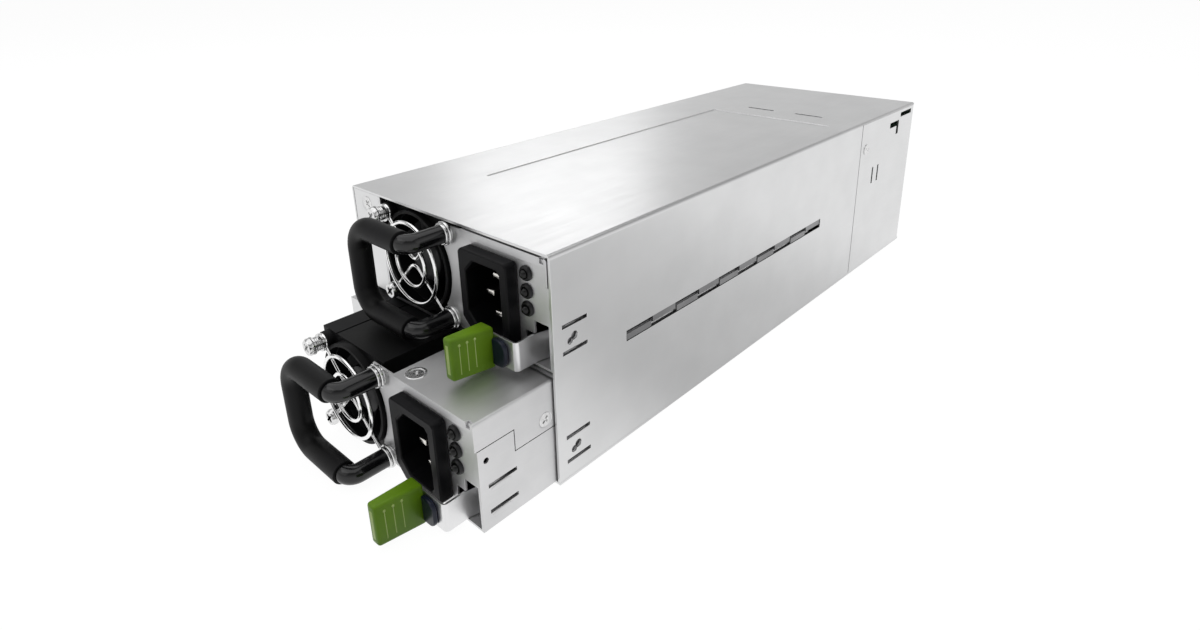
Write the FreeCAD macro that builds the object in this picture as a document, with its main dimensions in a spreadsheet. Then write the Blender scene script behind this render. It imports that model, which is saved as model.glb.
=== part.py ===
import FreeCAD, Part
import math
import os
import re
import Sketcher

# Redundant server power supply: a sheet-metal cage with two bays, one above the other, and
# two identical hot-swap modules that slide out of its front. Millimetres, +Z up, +X to the
# right of the front, -Y out of the front. The origin is the middle of the cage's underside.

doc = FreeCAD.newDocument("RedundantSupply")
sheet = doc.addObject("Spreadsheet::Sheet", "Dims")

SIZES = [
    # cage
    ("cage_width", 113.2), ("cage_depth", 290.8), ("cage_height", 84.0), ("cage_wall", 1.0),
    ("shelf_wall", 1.0), ("bend_radius", 1.6), ("channel_wall", 1.0), ("rear_depth", 69.6),
    ("seam_gap", 0.4), ("floor_flange", 8.0), ("bay_side_gap", 0.6), ("bay_floor_gap", 0.2),
    ("bay_roof_gap", 0.7), ("lower_pulled", 32.0), ("cover_proud", 8.0), ("cover_gap", 0.6),
    ("lower_cover_drop", 3.4), ("module_wide", 91.0),
    # embossed bead and slots of the cage roof
    ("bead_width", 4.0), ("bead_deep", 0.35), ("bead_front", 42.0), ("bead_back", 207.0),
    ("bead_left", 22.0), ("bead_right", 45.0), ("hook_slot_long", 15.8), ("hook_slot_wide", 2.2),
    ("hook_slot_pitch", 28.8), ("hook_slot_middle", 10.8),
    # slot of the right wall that shows the shelf's tabs
    ("shelf_slot_start", 35.0), ("shelf_slot_long", 146.0), ("shelf_slot_tall", 4.2),
    ("shelf_tab_pitch", 29.2), ("shelf_tab_tall", 1.4), ("shelf_tab_space", 1.0),
    # spring tongue that each bay's right wall holds for the latch
    ("tongue_start", 4.0), ("tongue_long", 11.4), ("tongue_slit", 1.4), ("tongue_low", 6.0),
    ("tongue_high", 15.6), ("latch_hole_radius", 1.5), ("latch_hole_at", 9.4),
    # holes
    ("foot_hole_radius", 1.7), ("foot_hole_across", 80.0), ("foot_hole_along", 230.0),
    ("cover_screw_drop", 4.9), ("screw_cap_tall", 0.5), ("screw_long", 4.0),
    ("cover_screw_part", 5.14),
    # rear section
    ("outlet_width", 44.0), ("outlet_tall", 22.0), ("outlet_up", 21.0), ("outlet_lip", 2.4),
    ("running_fit", 0.03), ("slit_at", 17.6), ("slit_pitch", 6.8), ("slit_wide", 1.6),
    ("slit_up", 48.0), ("slit_tall", 9.0), ("edge_slot_at", 50.0), ("edge_slot_long", 15.0),
    ("edge_slot_drop", 2.6), ("edge_slot_tall", 2.4), ("hook_notch_at", 36.4),
    ("hook_notch_long", 12.0), ("hook_notch_tall", 7.6), ("hook_notch_band", 2.9),
    ("hook_notch_drop", 6.4), ("rear_screw_at", 6.8), ("rear_screw_drop", 15.0),
    ("vent_slot_long", 14.0), ("vent_slot_wide", 2.4), ("vent_slot_pitch", 5.4),
    ("vent_slot_gap", 4.0), ("vent_slot_count", 5), ("vent_up", 46.2), ("board_thick", 1.6),
    ("backplane_gap", 2.2), ("board_edge_gap", 1.2), ("socket_wide", 46.0), ("socket_tall", 9.0),
    ("socket_deep", 9.0), ("socket_slot_deep", 7.0), ("card_gap", 0.25), ("post_pitch", 22.0),
    ("post_inset", 18.0), ("post_radius", 4.0), ("post_tall", 6.0),
    # module case
    ("module_length", 204.0), ("case_wall", 0.8), ("panel_setback", 0.8), ("corner_radius", 1.0),
    ("fan_bay_width", 49.0), ("duct_length", 60.0), ("hem_tall", 3.0), ("skirt_front_step", 29.8),
    ("skirt_back_step", 22.0), ("skirt_step_at", 15.1), ("skirt_gap", 0.3), ("lid_gap", 0.1),
    ("side_screw_at", 28.4), ("side_screw_up", 26.4), ("side_screw_radius", 2.9),
    ("top_screw_x", 54.5), ("top_screw_at", 5.8), ("top_screw_radius", 2.7), ("case_vent_up", 17.8),
    ("case_screw_long", 3.0), ("relief_out", 1.2), ("relief_wide", 2.0), ("relief_tall", 1.9),
    ("relief_deep", 1.4), ("pinhole_at", 3.9), ("pinhole_up", 25.3), ("pinhole_radius", 1.0),
    # fan
    ("fan_depth", 28.0), ("fan_gap", 0.1), ("fan_at", 3.1), ("fan_hub_radius", 9.2),
    ("fan_blade_count", 7), ("blade_root", 1.2), ("blade_front_gap", 4.0), ("blade_back_gap", 7.0),
    ("blade_lean", 4.6), ("blade_thick", 0.9), ("blade_camber", 1.4), ("duct_wall", 1.2),
    ("duct_setback", 2.2), ("mouth_proud", 0.4), ("duct_groove_at", 9.7), ("duct_groove_wide", 0.8),
    ("fan_rim", 1.1), ("fan_tip_gap", 1.4), ("fan_screw_inset", 3.0), ("mouth_lip", 0.4),
    ("mouth_rim", 0.9), ("panel_arc_gap", 0.9),
    # wire guard
    ("guard_wire_radius", 0.75), ("guard_inner_radius", 9.0), ("guard_eye_radius", 2.5),
    ("guard_gap", 0.1), ("guard_cross_gap", 0.2), ("guard_hook_radius", 1.2),
    ("guard_kink_radius", 3.6), ("captive_head_radius", 3.2), ("captive_head_long", 2.2),
    ("captive_stem_radius", 1.6), ("captive_reach", 7.0), ("boss_radius", 3.4),
    ("fan_shaft_radius", 1.5), ("fan_strut_wide", 2.4), ("fan_strut_deep", 2.0),
    ("motor_deep", 3.0), ("rotor_clearance", 0.8), ("guard_inset", 3.2),
    # handle
    ("handle_reach", 15.5), ("handle_left", 8.8), ("handle_arm_radius", 3.4),
    ("handle_grip_radius", 4.2), ("handle_bend_radius", 3.6), ("handle_corner_radius", 9.0),
    ("handle_stud_radius", 1.9), ("collar_radius", 4.4), ("collar_seat_radius", 3.5),
    ("collar_thick", 1.1), ("collar_count", 3), ("handle_arm_inset", 3.6),
    # inlet
    ("inlet_to_side", 26.6), ("inlet_wide", 24.4), ("inlet_proud", 5.0),
    ("inlet_cavity_wide", 17.4), ("inlet_cavity_deep", 20.0), ("inlet_chamfer_across", 4.6),
    ("inlet_chamfer_up", 4.6), ("inlet_body_wide", 20.2), ("inlet_body_deep", 22.0),
    ("inlet_pin_wide", 4.0), ("inlet_pin_thick", 2.0), ("inlet_pin_long", 15.5),
    ("inlet_pin_pitch", 14.0), ("inlet_pin_offset", 2.0), ("inlet_pin_tail", 6.0),
    ("inlet_gap", 0.2), ("inlet_corner", 1.6), ("inlet_edge", 4.8), ("inlet_lift", 0.2),
    ("inlet_cavity_edge", 3.1), ("inlet_body_edge", 1.6),
    # lamps
    ("lamp_to_side", 10.0), ("lamp_pitch", 6.15), ("lamp_count", 3), ("lamp_bezel_radius", 2.6),
    ("lamp_lens_radius", 1.55), ("lamp_bezel_proud", 1.3), ("lamp_hole_radius", 2.0),
    ("lamp_drop", 7.3), ("lamp_slot_gap", 1.0),
    # latch
    ("latch_to_side", 7.7), ("latch_strip_thick", 0.8), ("latch_low", 1.1), ("latch_high", 11.4),
    ("latch_reach", 7.6), ("latch_leg", 17.4), ("latch_root_at", 44.0), ("latch_knee_at", 30.8),
    ("latch_rivet_radius", 1.0), ("latch_bend_radius", 1.6), ("latch_play", 0.16),
    ("latch_slot_wide", 6.6), ("latch_travel", 3.6), ("latch_core_wide", 6.4),
    ("latch_core_thick", 1.6), ("tab_wide", 7.4), ("tab_long", 15.6), ("tab_low", 0.7),
    ("tab_high", 12.7), ("tab_wall", 1.2), ("tab_rib_count", 3), ("tab_rib_pitch", 3.1),
    ("tab_rib_wide", 0.9), ("tab_rib_proud", 0.45),
    # inside of a module
    ("board_up", 4.0), ("board_side_gap", 1.2), ("card_wide", 38.0), ("card_reach", 6.0),
    ("board_post_radius", 2.4), ("board_post_inset", 9.0), ("core_plate", 7.0), ("coil_inset", 1.5),
    ("core_long", 34.0), ("core_wide", 30.0), ("core_tall", 26.0), ("can_radius", 9.0),
    ("can_long", 42.0), ("sink_thick", 2.4), ("sink_tall", 27.0), ("sink_long", 54.0),
    ("sink_apart", 27.0), ("sink_inset", 6.0), ("sink_edge_gap", 12.0), ("sink_fin_reach", 5.0),
    ("sink_fin_pitch", 10.0), ("sink_fin_count", 5), ("core_at", 70.0),
]
for row, (alias, number) in enumerate(SIZES, start=1):
    sheet.set(f"A{row}", alias)
    sheet.set(f"B{row}", str(number))
    sheet.setAlias(f"B{row}", alias)
doc.recompute()

# Lengths that follow from the driving sizes, as texts for the expressions.
FRONT = "(-cage_depth / 2)"
BACK = "(cage_depth / 2)"
RIGHT = "(cage_width / 2)"
LEFT = "(-cage_width / 2)"
BAY_TALL = "((cage_height - 2 * cage_wall - shelf_wall) / 2)"
SHELF_LOW = f"(cage_wall + {BAY_TALL})"
SEAM = f"({BACK} - rear_depth)"
MODULE_WIDE = "module_wide"
BAY_LEFT = f"({RIGHT} - cage_wall - 2 * bay_side_gap - {MODULE_WIDE})"
MODULE_TALL = f"({BAY_TALL} - bay_floor_gap - bay_roof_gap)"
MODULE_LEFT = f"({BAY_LEFT} + bay_side_gap)"
BOARD_FACE = f"({FRONT} + module_length + backplane_gap + socket_deep)"
CHANNEL_WIDE = f"({BAY_LEFT} - channel_wall - cage_wall - {LEFT})"
FAN_X = "(duct_wall + fan_gap + fan_size / 2)"
FAN_Z = f"({MODULE_TALL} / 2)"
DUCT_WIDE = "(fan_size + 2 * fan_gap + 2 * duct_wall)"
INLET_X = f"({MODULE_WIDE} - inlet_to_side)"
LAMP_X = f"({MODULE_WIDE} - lamp_to_side)"
LATCH_X = f"({MODULE_WIDE} - latch_to_side)"
LATCH_PIVOT_Y = "(latch_root_at - 2 * latch_rivet_radius)"
RIVETS_UP = ("(latch_low + 2.6 * latch_rivet_radius)", "(latch_high - 2.6 * latch_rivet_radius)")
PANEL_FACE = "panel_setback"
PANEL_BACK = "(panel_setback + case_wall)"
OUTLET_LOW = "(outlet_up - outlet_tall / 2)"
OUTLET_HIGH = "(outlet_up + outlet_tall / 2)"
REAR_SCREW = (f"({SEAM} + rear_screw_at)", "(cage_height - rear_screw_drop)")
COVER_SCREW = (f"(({LEFT} + cage_wall + cover_gap / 2 + {BAY_LEFT} - channel_wall) / 2)",
               "(cage_height - cage_wall - cover_screw_drop)")
PAST = "1"
POST_COUNT = 4
BAYS = {
    "lower": (f"({FRONT} - lower_pulled)", "(cage_wall + bay_floor_gap)"),
    "upper": (FRONT, f"({SHELF_LOW} + shelf_wall + bay_floor_gap)"),
}

# Names that follow from the module's height and width, each before the names it is made of.
FOLLOWING = {
    "fan_blade_reach": "(fan_bore_radius - fan_tip_gap)",
    "fan_bore_radius": "(fan_size / 2 - fan_rim)",
    "fan_screw_pitch": "(fan_size - 2 * fan_screw_inset)",
    "guard_outer_radius": "(fan_size / 2 - guard_inset)",
    "panel_arc_radius": "(mouth_radius + panel_arc_gap)",
    "mouth_radius": "(fan_size / 2 + mouth_lip)",
    "mouth_bore_radius": "(fan_size / 2 - mouth_rim)",
    "handle_arm_at": DUCT_WIDE,
    "handle_arm_low": "(handle_arm_inset)",
    "handle_arm_high": f"({MODULE_TALL} - handle_arm_inset)",
    "inlet_cavity_tall": "(inlet_tall - 2 * inlet_cavity_edge)",
    "inlet_body_tall": "(inlet_tall - 2 * inlet_body_edge)",
    "inlet_tall": f"({MODULE_TALL} - 2 * inlet_edge)",
    "inlet_middle": f"({MODULE_TALL} / 2 + inlet_lift)",
    "latch_slot_high": "(lamp_top - (lamp_count - 1) * lamp_pitch - lamp_bezel_radius - lamp_slot_gap)",
    "lamp_top": f"({MODULE_TALL} - lamp_drop)",
    "cover_screw_radius": f"({CHANNEL_WIDE} / cover_screw_part)",
    "fan_size": f"({MODULE_TALL} - 2 * case_wall)",
}

SIDES = {"top": "XY_Plane", "front": "XZ_Plane", "side": "YZ_Plane"}
pieces = []


def size(alias):
    return float(sheet.get(alias))


def bound(text):
    """Writes out the names that follow from others, then every alias as a reference to its cell."""
    for name, meaning in FOLLOWING.items():
        text = re.sub(rf"\b{name}\b", meaning, text)
    return re.sub(r"\b([a-z]+(?:_[a-z]+)+)\b", r"Dims.\1", text)


def tie(thing, **texts):
    for name, text in texts.items():
        thing.setExpression(name, bound(text))
    return thing


def place(thing, x="0", y="0", z="0"):
    for axis, text in zip("xyz", (x, y, z)):
        thing.setExpression(f"Placement.Base.{axis}", bound(text))
    return thing


def keep(thing, label):
    """Names a finished sub-part."""
    thing.Label = label
    pieces.append(thing)
    return thing


# Part primitives and booleans

def block(low, high):
    box = doc.addObject("Part::Box", "Block")
    place(box, *low)
    for name, start, end in zip(("Length", "Width", "Height"), low, high):
        box.setExpression(name, bound(f"({end}) - ({start})"))
    return box


TURNS = {
    "x": FreeCAD.Rotation(FreeCAD.Vector(0, 1, 0), 90),
    "y": FreeCAD.Rotation(FreeCAD.Vector(1, 0, 0), -90),
    "z": FreeCAD.Rotation(),
}


def rod(start, along, radius, length):
    """A cylinder from a start point along an axis."""
    solid = doc.addObject("Part::Cylinder", "Rod")
    solid.Placement = FreeCAD.Placement(FreeCAD.Vector(), TURNS[along])
    place(solid, *start)
    return tie(solid, Radius=radius, Height=length)


def cone(start, along, radius, end_radius, length):
    solid = doc.addObject("Part::Cone", "Cone")
    solid.Placement = FreeCAD.Placement(FreeCAD.Vector(), TURNS[along])
    place(solid, *start)
    return tie(solid, Radius1=radius, Radius2=end_radius, Height=length)


def hoop(centre, along, radius, wire):
    ring = doc.addObject("Part::Torus", "Hoop")
    ring.Placement = FreeCAD.Placement(FreeCAD.Vector(), TURNS[along])
    place(ring, *centre)
    return tie(ring, Radius1=radius, Radius2=wire)


def joined(solids):
    if len(solids) == 1:
        return solids[0]
    both = doc.addObject("Part::MultiFuse", "Joined")
    both.Shapes = solids
    return both


def group(solids):
    """Separate solids that share a node."""
    together = doc.addObject("Part::Compound", "Group")
    together.Links = solids
    return together


def cut(base, tools):
    less = doc.addObject("Part::Cut", "Less")
    less.Base = base
    less.Tool = joined(tools)
    return less


# Bodies with sketches

def new_body():
    return doc.addObject("PartDesign::Body", "Body")


def sketch_on(body, side, station):
    """A sketch across the body at a station along the side's own axis."""
    plane = [face for face in body.Origin.OriginFeatures if face.Role == SIDES[side]][0]
    sketch = body.newObject("Sketcher::SketchObject", "Outline")
    sketch.AttachmentSupport = [(plane, "")]
    sketch.MapMode = "FlatFace"
    sign = "-" if side == "front" else ""
    sketch.setExpression("AttachmentOffset.Base.z", bound(f"{sign}({station})"))
    return sketch


def pin_point(sketch, edge, end, x, y):
    for kind, text in (("DistanceX", x), ("DistanceY", y)):
        point = sketch.getPoint(edge, end)
        number = point.x if kind == "DistanceX" else point.y
        index = sketch.addConstraint(Sketcher.Constraint(kind, -1, 1, edge, end, number))
        sketch.setExpression(f"Constraints[{index}]", bound(text))


def polygon(sketch, corners):
    """A closed outline of straight lines whose corners are each a pair of texts."""
    count = len(corners)
    first = sketch.GeometryCount
    turns = [math.tau * i / count for i in range(count)]
    spots = [FreeCAD.Vector(math.cos(turn), math.sin(turn)) for turn in turns]
    for i in range(count):
        sketch.addGeometry(Part.LineSegment(spots[i], spots[(i + 1) % count]), False)
    for i in range(count):
        sketch.addConstraint(Sketcher.Constraint("Coincident", first + i, 2, first + (i + 1) % count, 1))
    for i, (x, y) in enumerate(corners):
        pin_point(sketch, first + i, 1, x, y)


def oblong(sketch, low, high):
    (x0, y0), (x1, y1) = low, high
    polygon(sketch, [(x0, y0), (x1, y0), (x1, y1), (x0, y1)])


def circle(sketch, x, y, radius):
    edge = sketch.addGeometry(Part.Circle(FreeCAD.Vector(), FreeCAD.Vector(0, 0, 1), 1.0), False)
    pin_point(sketch, edge, 3, x, y)
    index = sketch.addConstraint(Sketcher.Constraint("Radius", edge, 1.0))
    sketch.setExpression(f"Constraints[{index}]", bound(radius))


def pad(body, sketch, length):
    feature = body.newObject("PartDesign::Pad", "Pad")
    feature.Profile = sketch
    sketch.Visibility = False
    if sketch.AttachmentSupport[0][0].Role == SIDES["front"]:
        feature.Reversed = True
    return tie(feature, Length=length)


def pocket(body, sketch, length):
    feature = body.newObject("PartDesign::Pocket", "Pocket")
    feature.Profile = sketch
    feature.Reversed = sketch.AttachmentSupport[0][0].Role != SIDES["front"]
    return tie(feature, Length=length)


def soften(body, radius, test):
    """Fillets the edges of the body's last feature that a test picks."""
    doc.recompute()
    last = body.Tip
    names = [f"Edge{i}" for i, edge in enumerate(last.Shape.Edges, start=1) if test(edge)]
    feature = body.newObject("PartDesign::Fillet", "Fillet")
    feature.Base = (last, names)
    return tie(feature, Radius=radius)


def along(axis):
    """A test for straight edges that run along an axis."""
    def test(edge):
        if edge.Curve.TypeId != "Part::GeomLine":
            return False
        return abs(abs(edge.Curve.Direction.dot(axis)) - 1) < 1e-6
    return test


X_AXIS = FreeCAD.Vector(1, 0, 0)
Y_AXIS = FreeCAD.Vector(0, 1, 0)
Z_AXIS = FreeCAD.Vector(0, 0, 1)


def middle(edge):
    return edge.valueAt((edge.FirstParameter + edge.LastParameter) / 2)


# Cage

def cage_shell():
    """Roof and both side walls, one bent sheet with an embossed roof and slotted right wall."""
    body = new_body()
    low = "cage_wall"
    outline = sketch_on(body, "front", FRONT)
    polygon(outline, [
        (LEFT, low), (f"{LEFT} + cage_wall", low),
        (f"{LEFT} + cage_wall", "cage_height - cage_wall"),
        (f"{RIGHT} - cage_wall", "cage_height - cage_wall"),
        (f"{RIGHT} - cage_wall", low), (RIGHT, low),
        (RIGHT, "cage_height"), (LEFT, "cage_height"),
    ])
    pad(body, outline, "cage_depth")
    tall = size("cage_height")
    wide = size("cage_width") / 2

    def outer_bend(edge):
        spot = middle(edge)
        return along(Y_AXIS)(edge) and abs(spot.z - tall) < 0.01 and abs(abs(spot.x) - wide) < 0.01

    soften(body, "bend_radius", outer_bend)
    # the side walls stop at the seam, where the rear section starts
    behind = sketch_on(body, "side", LEFT)
    oblong(behind, (SEAM, "0"), (f"{BACK} + 1", "cage_height - cage_wall"))
    pocket(body, behind, "cage_width")
    # embossed L on the roof, and the two hook slots behind it
    bead = sketch_on(body, "top", "cage_height - bead_deep")
    polygon(bead, [
        ("-bead_left - bead_width / 2", f"{FRONT} + bead_front"),
        ("-bead_left + bead_width / 2", f"{FRONT} + bead_front"),
        ("-bead_left + bead_width / 2", f"{FRONT} + bead_back - bead_width"),
        ("bead_right", f"{FRONT} + bead_back - bead_width"),
        ("bead_right", f"{FRONT} + bead_back"),
        ("-bead_left - bead_width / 2", f"{FRONT} + bead_back"),
    ])
    pocket(body, bead, "bead_deep * 2")
    slots = sketch_on(body, "top", "cage_height - 2 * cage_wall")
    for side in ("-", "+"):
        centre = f"(hook_slot_middle {side} hook_slot_pitch / 2)"
        oblong(slots, (f"{centre} - hook_slot_long / 2", f"{SEAM} + cage_wall"),
               (f"{centre} + hook_slot_long / 2", f"{SEAM} + cage_wall + hook_slot_wide"))
    pocket(body, slots, "cage_wall * 3")
    # right wall: long slot over the shelf's edge, and a slit tongue for each bay's latch
    wall = sketch_on(body, "side", f"{RIGHT} - 2 * cage_wall")
    shelf_middle = f"({SHELF_LOW} + shelf_wall / 2)"
    start = f"({FRONT} + shelf_slot_start)"
    oblong(wall, (start, f"{shelf_middle} - shelf_slot_tall / 2"),
           (f"{start} + shelf_slot_long", f"{shelf_middle} + shelf_slot_tall / 2"))
    for front, base in BAYS.values():
        for slit in ("tongue_low", "tongue_high"):
            oblong(wall, (f"{FRONT} + tongue_start", f"{base} + {slit} - tongue_slit / 2"),
                   (f"{FRONT} + tongue_start + tongue_long", f"{base} + {slit} + tongue_slit / 2"))
    pocket(body, wall, "cage_wall * 3")
    lobe = ("latch_hole_radius * 1.3", "latch_hole_radius * 0.8", "latch_hole_radius * 0.85")
    for back, up, radius in (("0", "0", "latch_hole_radius"), lobe):
        holes = sketch_on(body, "side", f"{RIGHT} - 2 * cage_wall")
        for front, base in BAYS.values():
            circle(holes, f"{FRONT} + latch_hole_at - {back}",
                   f"{base} + (tongue_low + tongue_high) / 2 - {up}", radius)
        pocket(body, holes, "cage_wall * 3")
    keep(body, "cage_shell")


def cage_floor():
    """Bottom sheet with a flange up inside the left wall and holes for the chassis screws."""
    body = new_body()
    outline = sketch_on(body, "top", "0")
    oblong(outline, (LEFT, FRONT), (RIGHT, BACK))
    pad(body, outline, "cage_wall")
    flange = sketch_on(body, "side", f"{LEFT} + cage_wall")
    oblong(flange, (f"{FRONT} + 2 * floor_flange", "0"), (f"{SEAM} - seam_gap", "floor_flange"))
    pad(body, flange, "cage_wall")
    holes = sketch_on(body, "top", "-cage_wall")
    for x in ("-", "+"):
        for y in ("-", "+"):
            circle(holes, f"{x}foot_hole_across / 2", f"{y}foot_hole_along / 2", "foot_hole_radius")
    pocket(body, holes, "cage_wall * 3")
    keep(body, "cage_floor")


def divider_shelf():
    """Shelf between the bays. Tabs at its right edge stand up and down in turn inside the wall's slot."""
    edge = f"({RIGHT} - cage_wall - seam_gap / 4)"
    plate = block((BAY_LEFT, FRONT, SHELF_LOW),
                  (edge, f"{BOARD_FACE} - backplane_gap", f"{SHELF_LOW} + shelf_wall"))
    tabs = []
    count = int(size("shelf_slot_long") / size("shelf_tab_pitch"))
    for i in range(2 * count):
        near = f"({FRONT} + shelf_slot_start + shelf_tab_pitch * {i} / 2)"
        lift = "shelf_tab_tall" if i % 2 else "0"
        drop = "0" if i % 2 else "shelf_tab_tall"
        tabs.append(block(
            (f"{edge} - seam_gap / 4", f"{near} + shelf_tab_space / 2", f"{SHELF_LOW} - {drop}"),
            (f"{RIGHT} - cage_wall / 4", f"{near} + shelf_tab_pitch / 2 - shelf_tab_space / 2",
             f"{SHELF_LOW} + shelf_wall + {lift}")))
    keep(joined([plate] + tabs), "divider_shelf")


def service_channel():
    """Partition that closes the left channel off, and the channel's two front covers."""
    wall = block((f"{BAY_LEFT} - channel_wall", FRONT, "cage_wall"),
                 (BAY_LEFT, f"{BOARD_FACE} - backplane_gap", "cage_height - cage_wall"))
    keep(wall, "channel_wall")
    left = f"{LEFT} + cage_wall + cover_gap / 2"
    right = f"{BAY_LEFT} - channel_wall"
    top = block((left, FRONT, f"{SHELF_LOW} + shelf_wall"),
                (right, f"{FRONT} + cage_wall", "cage_height - cage_wall"))
    flange = block((left, FRONT, f"{SHELF_LOW} + shelf_wall"),
                   (right, f"{FRONT} + floor_flange", f"{SHELF_LOW} + 2 * shelf_wall"))
    hole = cone((COVER_SCREW[0], FRONT, COVER_SCREW[1]), "y", "cover_screw_radius",
                "cover_screw_radius / 2", "cage_wall")
    keep(cut(joined([top, flange]), [hole]), "channel_cover_upper")
    face = f"({FRONT} - cover_proud)"
    outer = block((left, face, "cage_wall"),
                  (right, f"{FRONT} + floor_flange", f"{SHELF_LOW} - lower_cover_drop"))
    inner = block((f"{left} + cage_wall", f"{face} + cage_wall", "2 * cage_wall"),
                  (f"{right} - cage_wall", f"{FRONT} + floor_flange + 1",
                   f"{SHELF_LOW} - lower_cover_drop - cage_wall"))
    keep(cut(outer, [inner]), "channel_cover_lower")


def rear_section():
    """Rear housing behind the seam, of one bent sheet, and the bush of its cable outlet."""
    body = new_body()
    outline = sketch_on(body, "top", "cage_wall")
    start = f"({SEAM} + seam_gap)"
    polygon(outline, [
        (LEFT, start), (f"{LEFT} + cage_wall", start), (f"{LEFT} + cage_wall", f"{BACK} - cage_wall"),
        (f"{RIGHT} - cage_wall", f"{BACK} - cage_wall"), (f"{RIGHT} - cage_wall", start),
        (RIGHT, start), (RIGHT, BACK), (LEFT, BACK),
    ])
    pad(body, outline, "cage_height - 2 * cage_wall")
    rear = size("cage_depth") / 2
    wide = size("cage_width") / 2

    def rear_bend(edge):
        spot = middle(edge)
        return along(Z_AXIS)(edge) and abs(spot.y - rear) < 0.01 and abs(abs(spot.x) - wide) < 0.01

    soften(body, "bend_radius", rear_bend)
    side = sketch_on(body, "side", f"{RIGHT} - 2 * cage_wall")
    for step in ("0", "slit_pitch"):
        near = f"({SEAM} + slit_at + {step})"
        oblong(side, (near, "slit_up"), (f"{near} + slit_wide", "slit_up + slit_tall"))
    oblong(side, (f"{SEAM} + edge_slot_at", "cage_height - edge_slot_drop - edge_slot_tall"),
           (f"{SEAM} + edge_slot_at + edge_slot_long", "cage_height - edge_slot_drop"))
    near = f"({SEAM} + hook_notch_at)"
    far = f"({near} + hook_notch_long)"
    high = "(cage_height - hook_notch_drop)"
    polygon(side, [
        (near, f"{high} - hook_notch_band"), (f"{far} - hook_notch_band", f"{high} - hook_notch_band"),
        (f"{far} - hook_notch_band", f"{high} - hook_notch_tall"), (far, f"{high} - hook_notch_tall"),
        (far, high), (near, high),
    ])
    circle(side, *REAR_SCREW, "foot_hole_radius + running_fit")
    pocket(body, side, "cage_wall * 3")
    wall = sketch_on(body, "front", f"{BACK} - 2 * cage_wall")
    oblong(wall, ("-outlet_width / 2", OUTLET_LOW), ("outlet_width / 2", OUTLET_HIGH))
    for row in range(int(size("vent_slot_count"))):
        for column in (-2, -1, 0, 1, 2):
            x = f"({column} * (vent_slot_long + vent_slot_gap))"
            z = f"(vent_up + {row} * vent_slot_pitch)"
            oblong(wall, (f"{x} - vent_slot_long / 2", f"{z} - vent_slot_wide / 2"),
                   (f"{x} + vent_slot_long / 2", f"{z} + vent_slot_wide / 2"))
    pocket(body, wall, "cage_wall * 3")
    keep(body, "rear_housing")
    # bush of the cable outlet: a flanged frame through the wall
    bush = new_body()
    outer = sketch_on(bush, "front", BACK)
    oblong(outer, ("-outlet_width / 2 - outlet_lip", f"{OUTLET_LOW} - outlet_lip"),
           ("outlet_width / 2 + outlet_lip", f"{OUTLET_HIGH} + outlet_lip"))
    pad(bush, outer, "outlet_lip / 2")
    neck = sketch_on(bush, "front", f"{BACK} - cage_wall - outlet_lip / 2")
    oblong(neck, ("-outlet_width / 2 + 2 * running_fit", f"{OUTLET_LOW} + 2 * running_fit"),
           ("outlet_width / 2 - 2 * running_fit", f"{OUTLET_HIGH} - 2 * running_fit"))
    pad(bush, neck, "cage_wall + outlet_lip")
    bore = sketch_on(bush, "front", f"{BACK} - cage_wall - outlet_lip")
    oblong(bore, ("-outlet_width / 2 + outlet_lip / 2", f"{OUTLET_LOW} + outlet_lip / 2"),
           ("outlet_width / 2 - outlet_lip / 2", f"{OUTLET_HIGH} - outlet_lip / 2"))
    pocket(bush, bore, "cage_wall + 3 * outlet_lip")
    soften(bush, "outlet_lip / 2", along(Y_AXIS))
    keep(bush, "outlet_bush")


def backplane():
    """Upright board behind the bays with a card socket for each module, and its power board behind it."""
    board = block((f"{BAY_LEFT} + board_edge_gap", BOARD_FACE, "cage_wall"),
                  (f"{RIGHT} - cage_wall - board_edge_gap", f"{BOARD_FACE} + board_thick",
                   "cage_height - cage_wall"))
    keep(board, "backplane_board")
    sockets = []
    for front, base in BAYS.values():
        middle_x = f"({MODULE_LEFT} + {MODULE_WIDE} / 2)"
        card = f"({base} + board_up + board_thick / 2)"
        socket_front = f"{BOARD_FACE} - socket_deep"
        shell = block((f"{middle_x} - socket_wide / 2", socket_front, f"{card} - socket_tall / 3"),
                      (f"{middle_x} + socket_wide / 2", BOARD_FACE, f"{card} + socket_tall * 2 / 3"))
        slot = block((f"{middle_x} - card_wide / 2 - 2 * card_gap", f"{socket_front} - {PAST}",
                      f"{card} - board_thick / 2 - card_gap"),
                     (f"{middle_x} + card_wide / 2 + 2 * card_gap",
                      f"{socket_front} + socket_slot_deep", f"{card} + board_thick / 2 + card_gap"))
        sockets.append(cut(shell, [slot]))
    keep(group(sockets), "bay_sockets")
    power = block((f"{LEFT} + cage_wall + board_edge_gap", f"{BOARD_FACE} + board_thick",
                   "cage_height / 2 - board_thick / 2"),
                  (f"{RIGHT} - cage_wall - board_edge_gap", f"{BACK} - cage_wall - 4 * board_edge_gap",
                   "cage_height / 2 + board_thick / 2"))
    keep(power, "output_board")
    posts = []
    under = "(cage_height / 2 - board_thick / 2)"
    for i in range(POST_COUNT):
        x = f"({i - (POST_COUNT - 1) / 2} * post_pitch)"
        y = f"({BACK} - cage_wall - post_inset)"
        post = rod((x, y, f"{under} - post_tall"), "z", "post_radius", "post_tall")
        stem = rod((x, y, f"{under} - 1.5 * post_tall"), "z", "post_radius / 2", "post_tall / 2")
        posts.append(joined([post, stem]))
    keep(group(posts), "output_posts")


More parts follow.
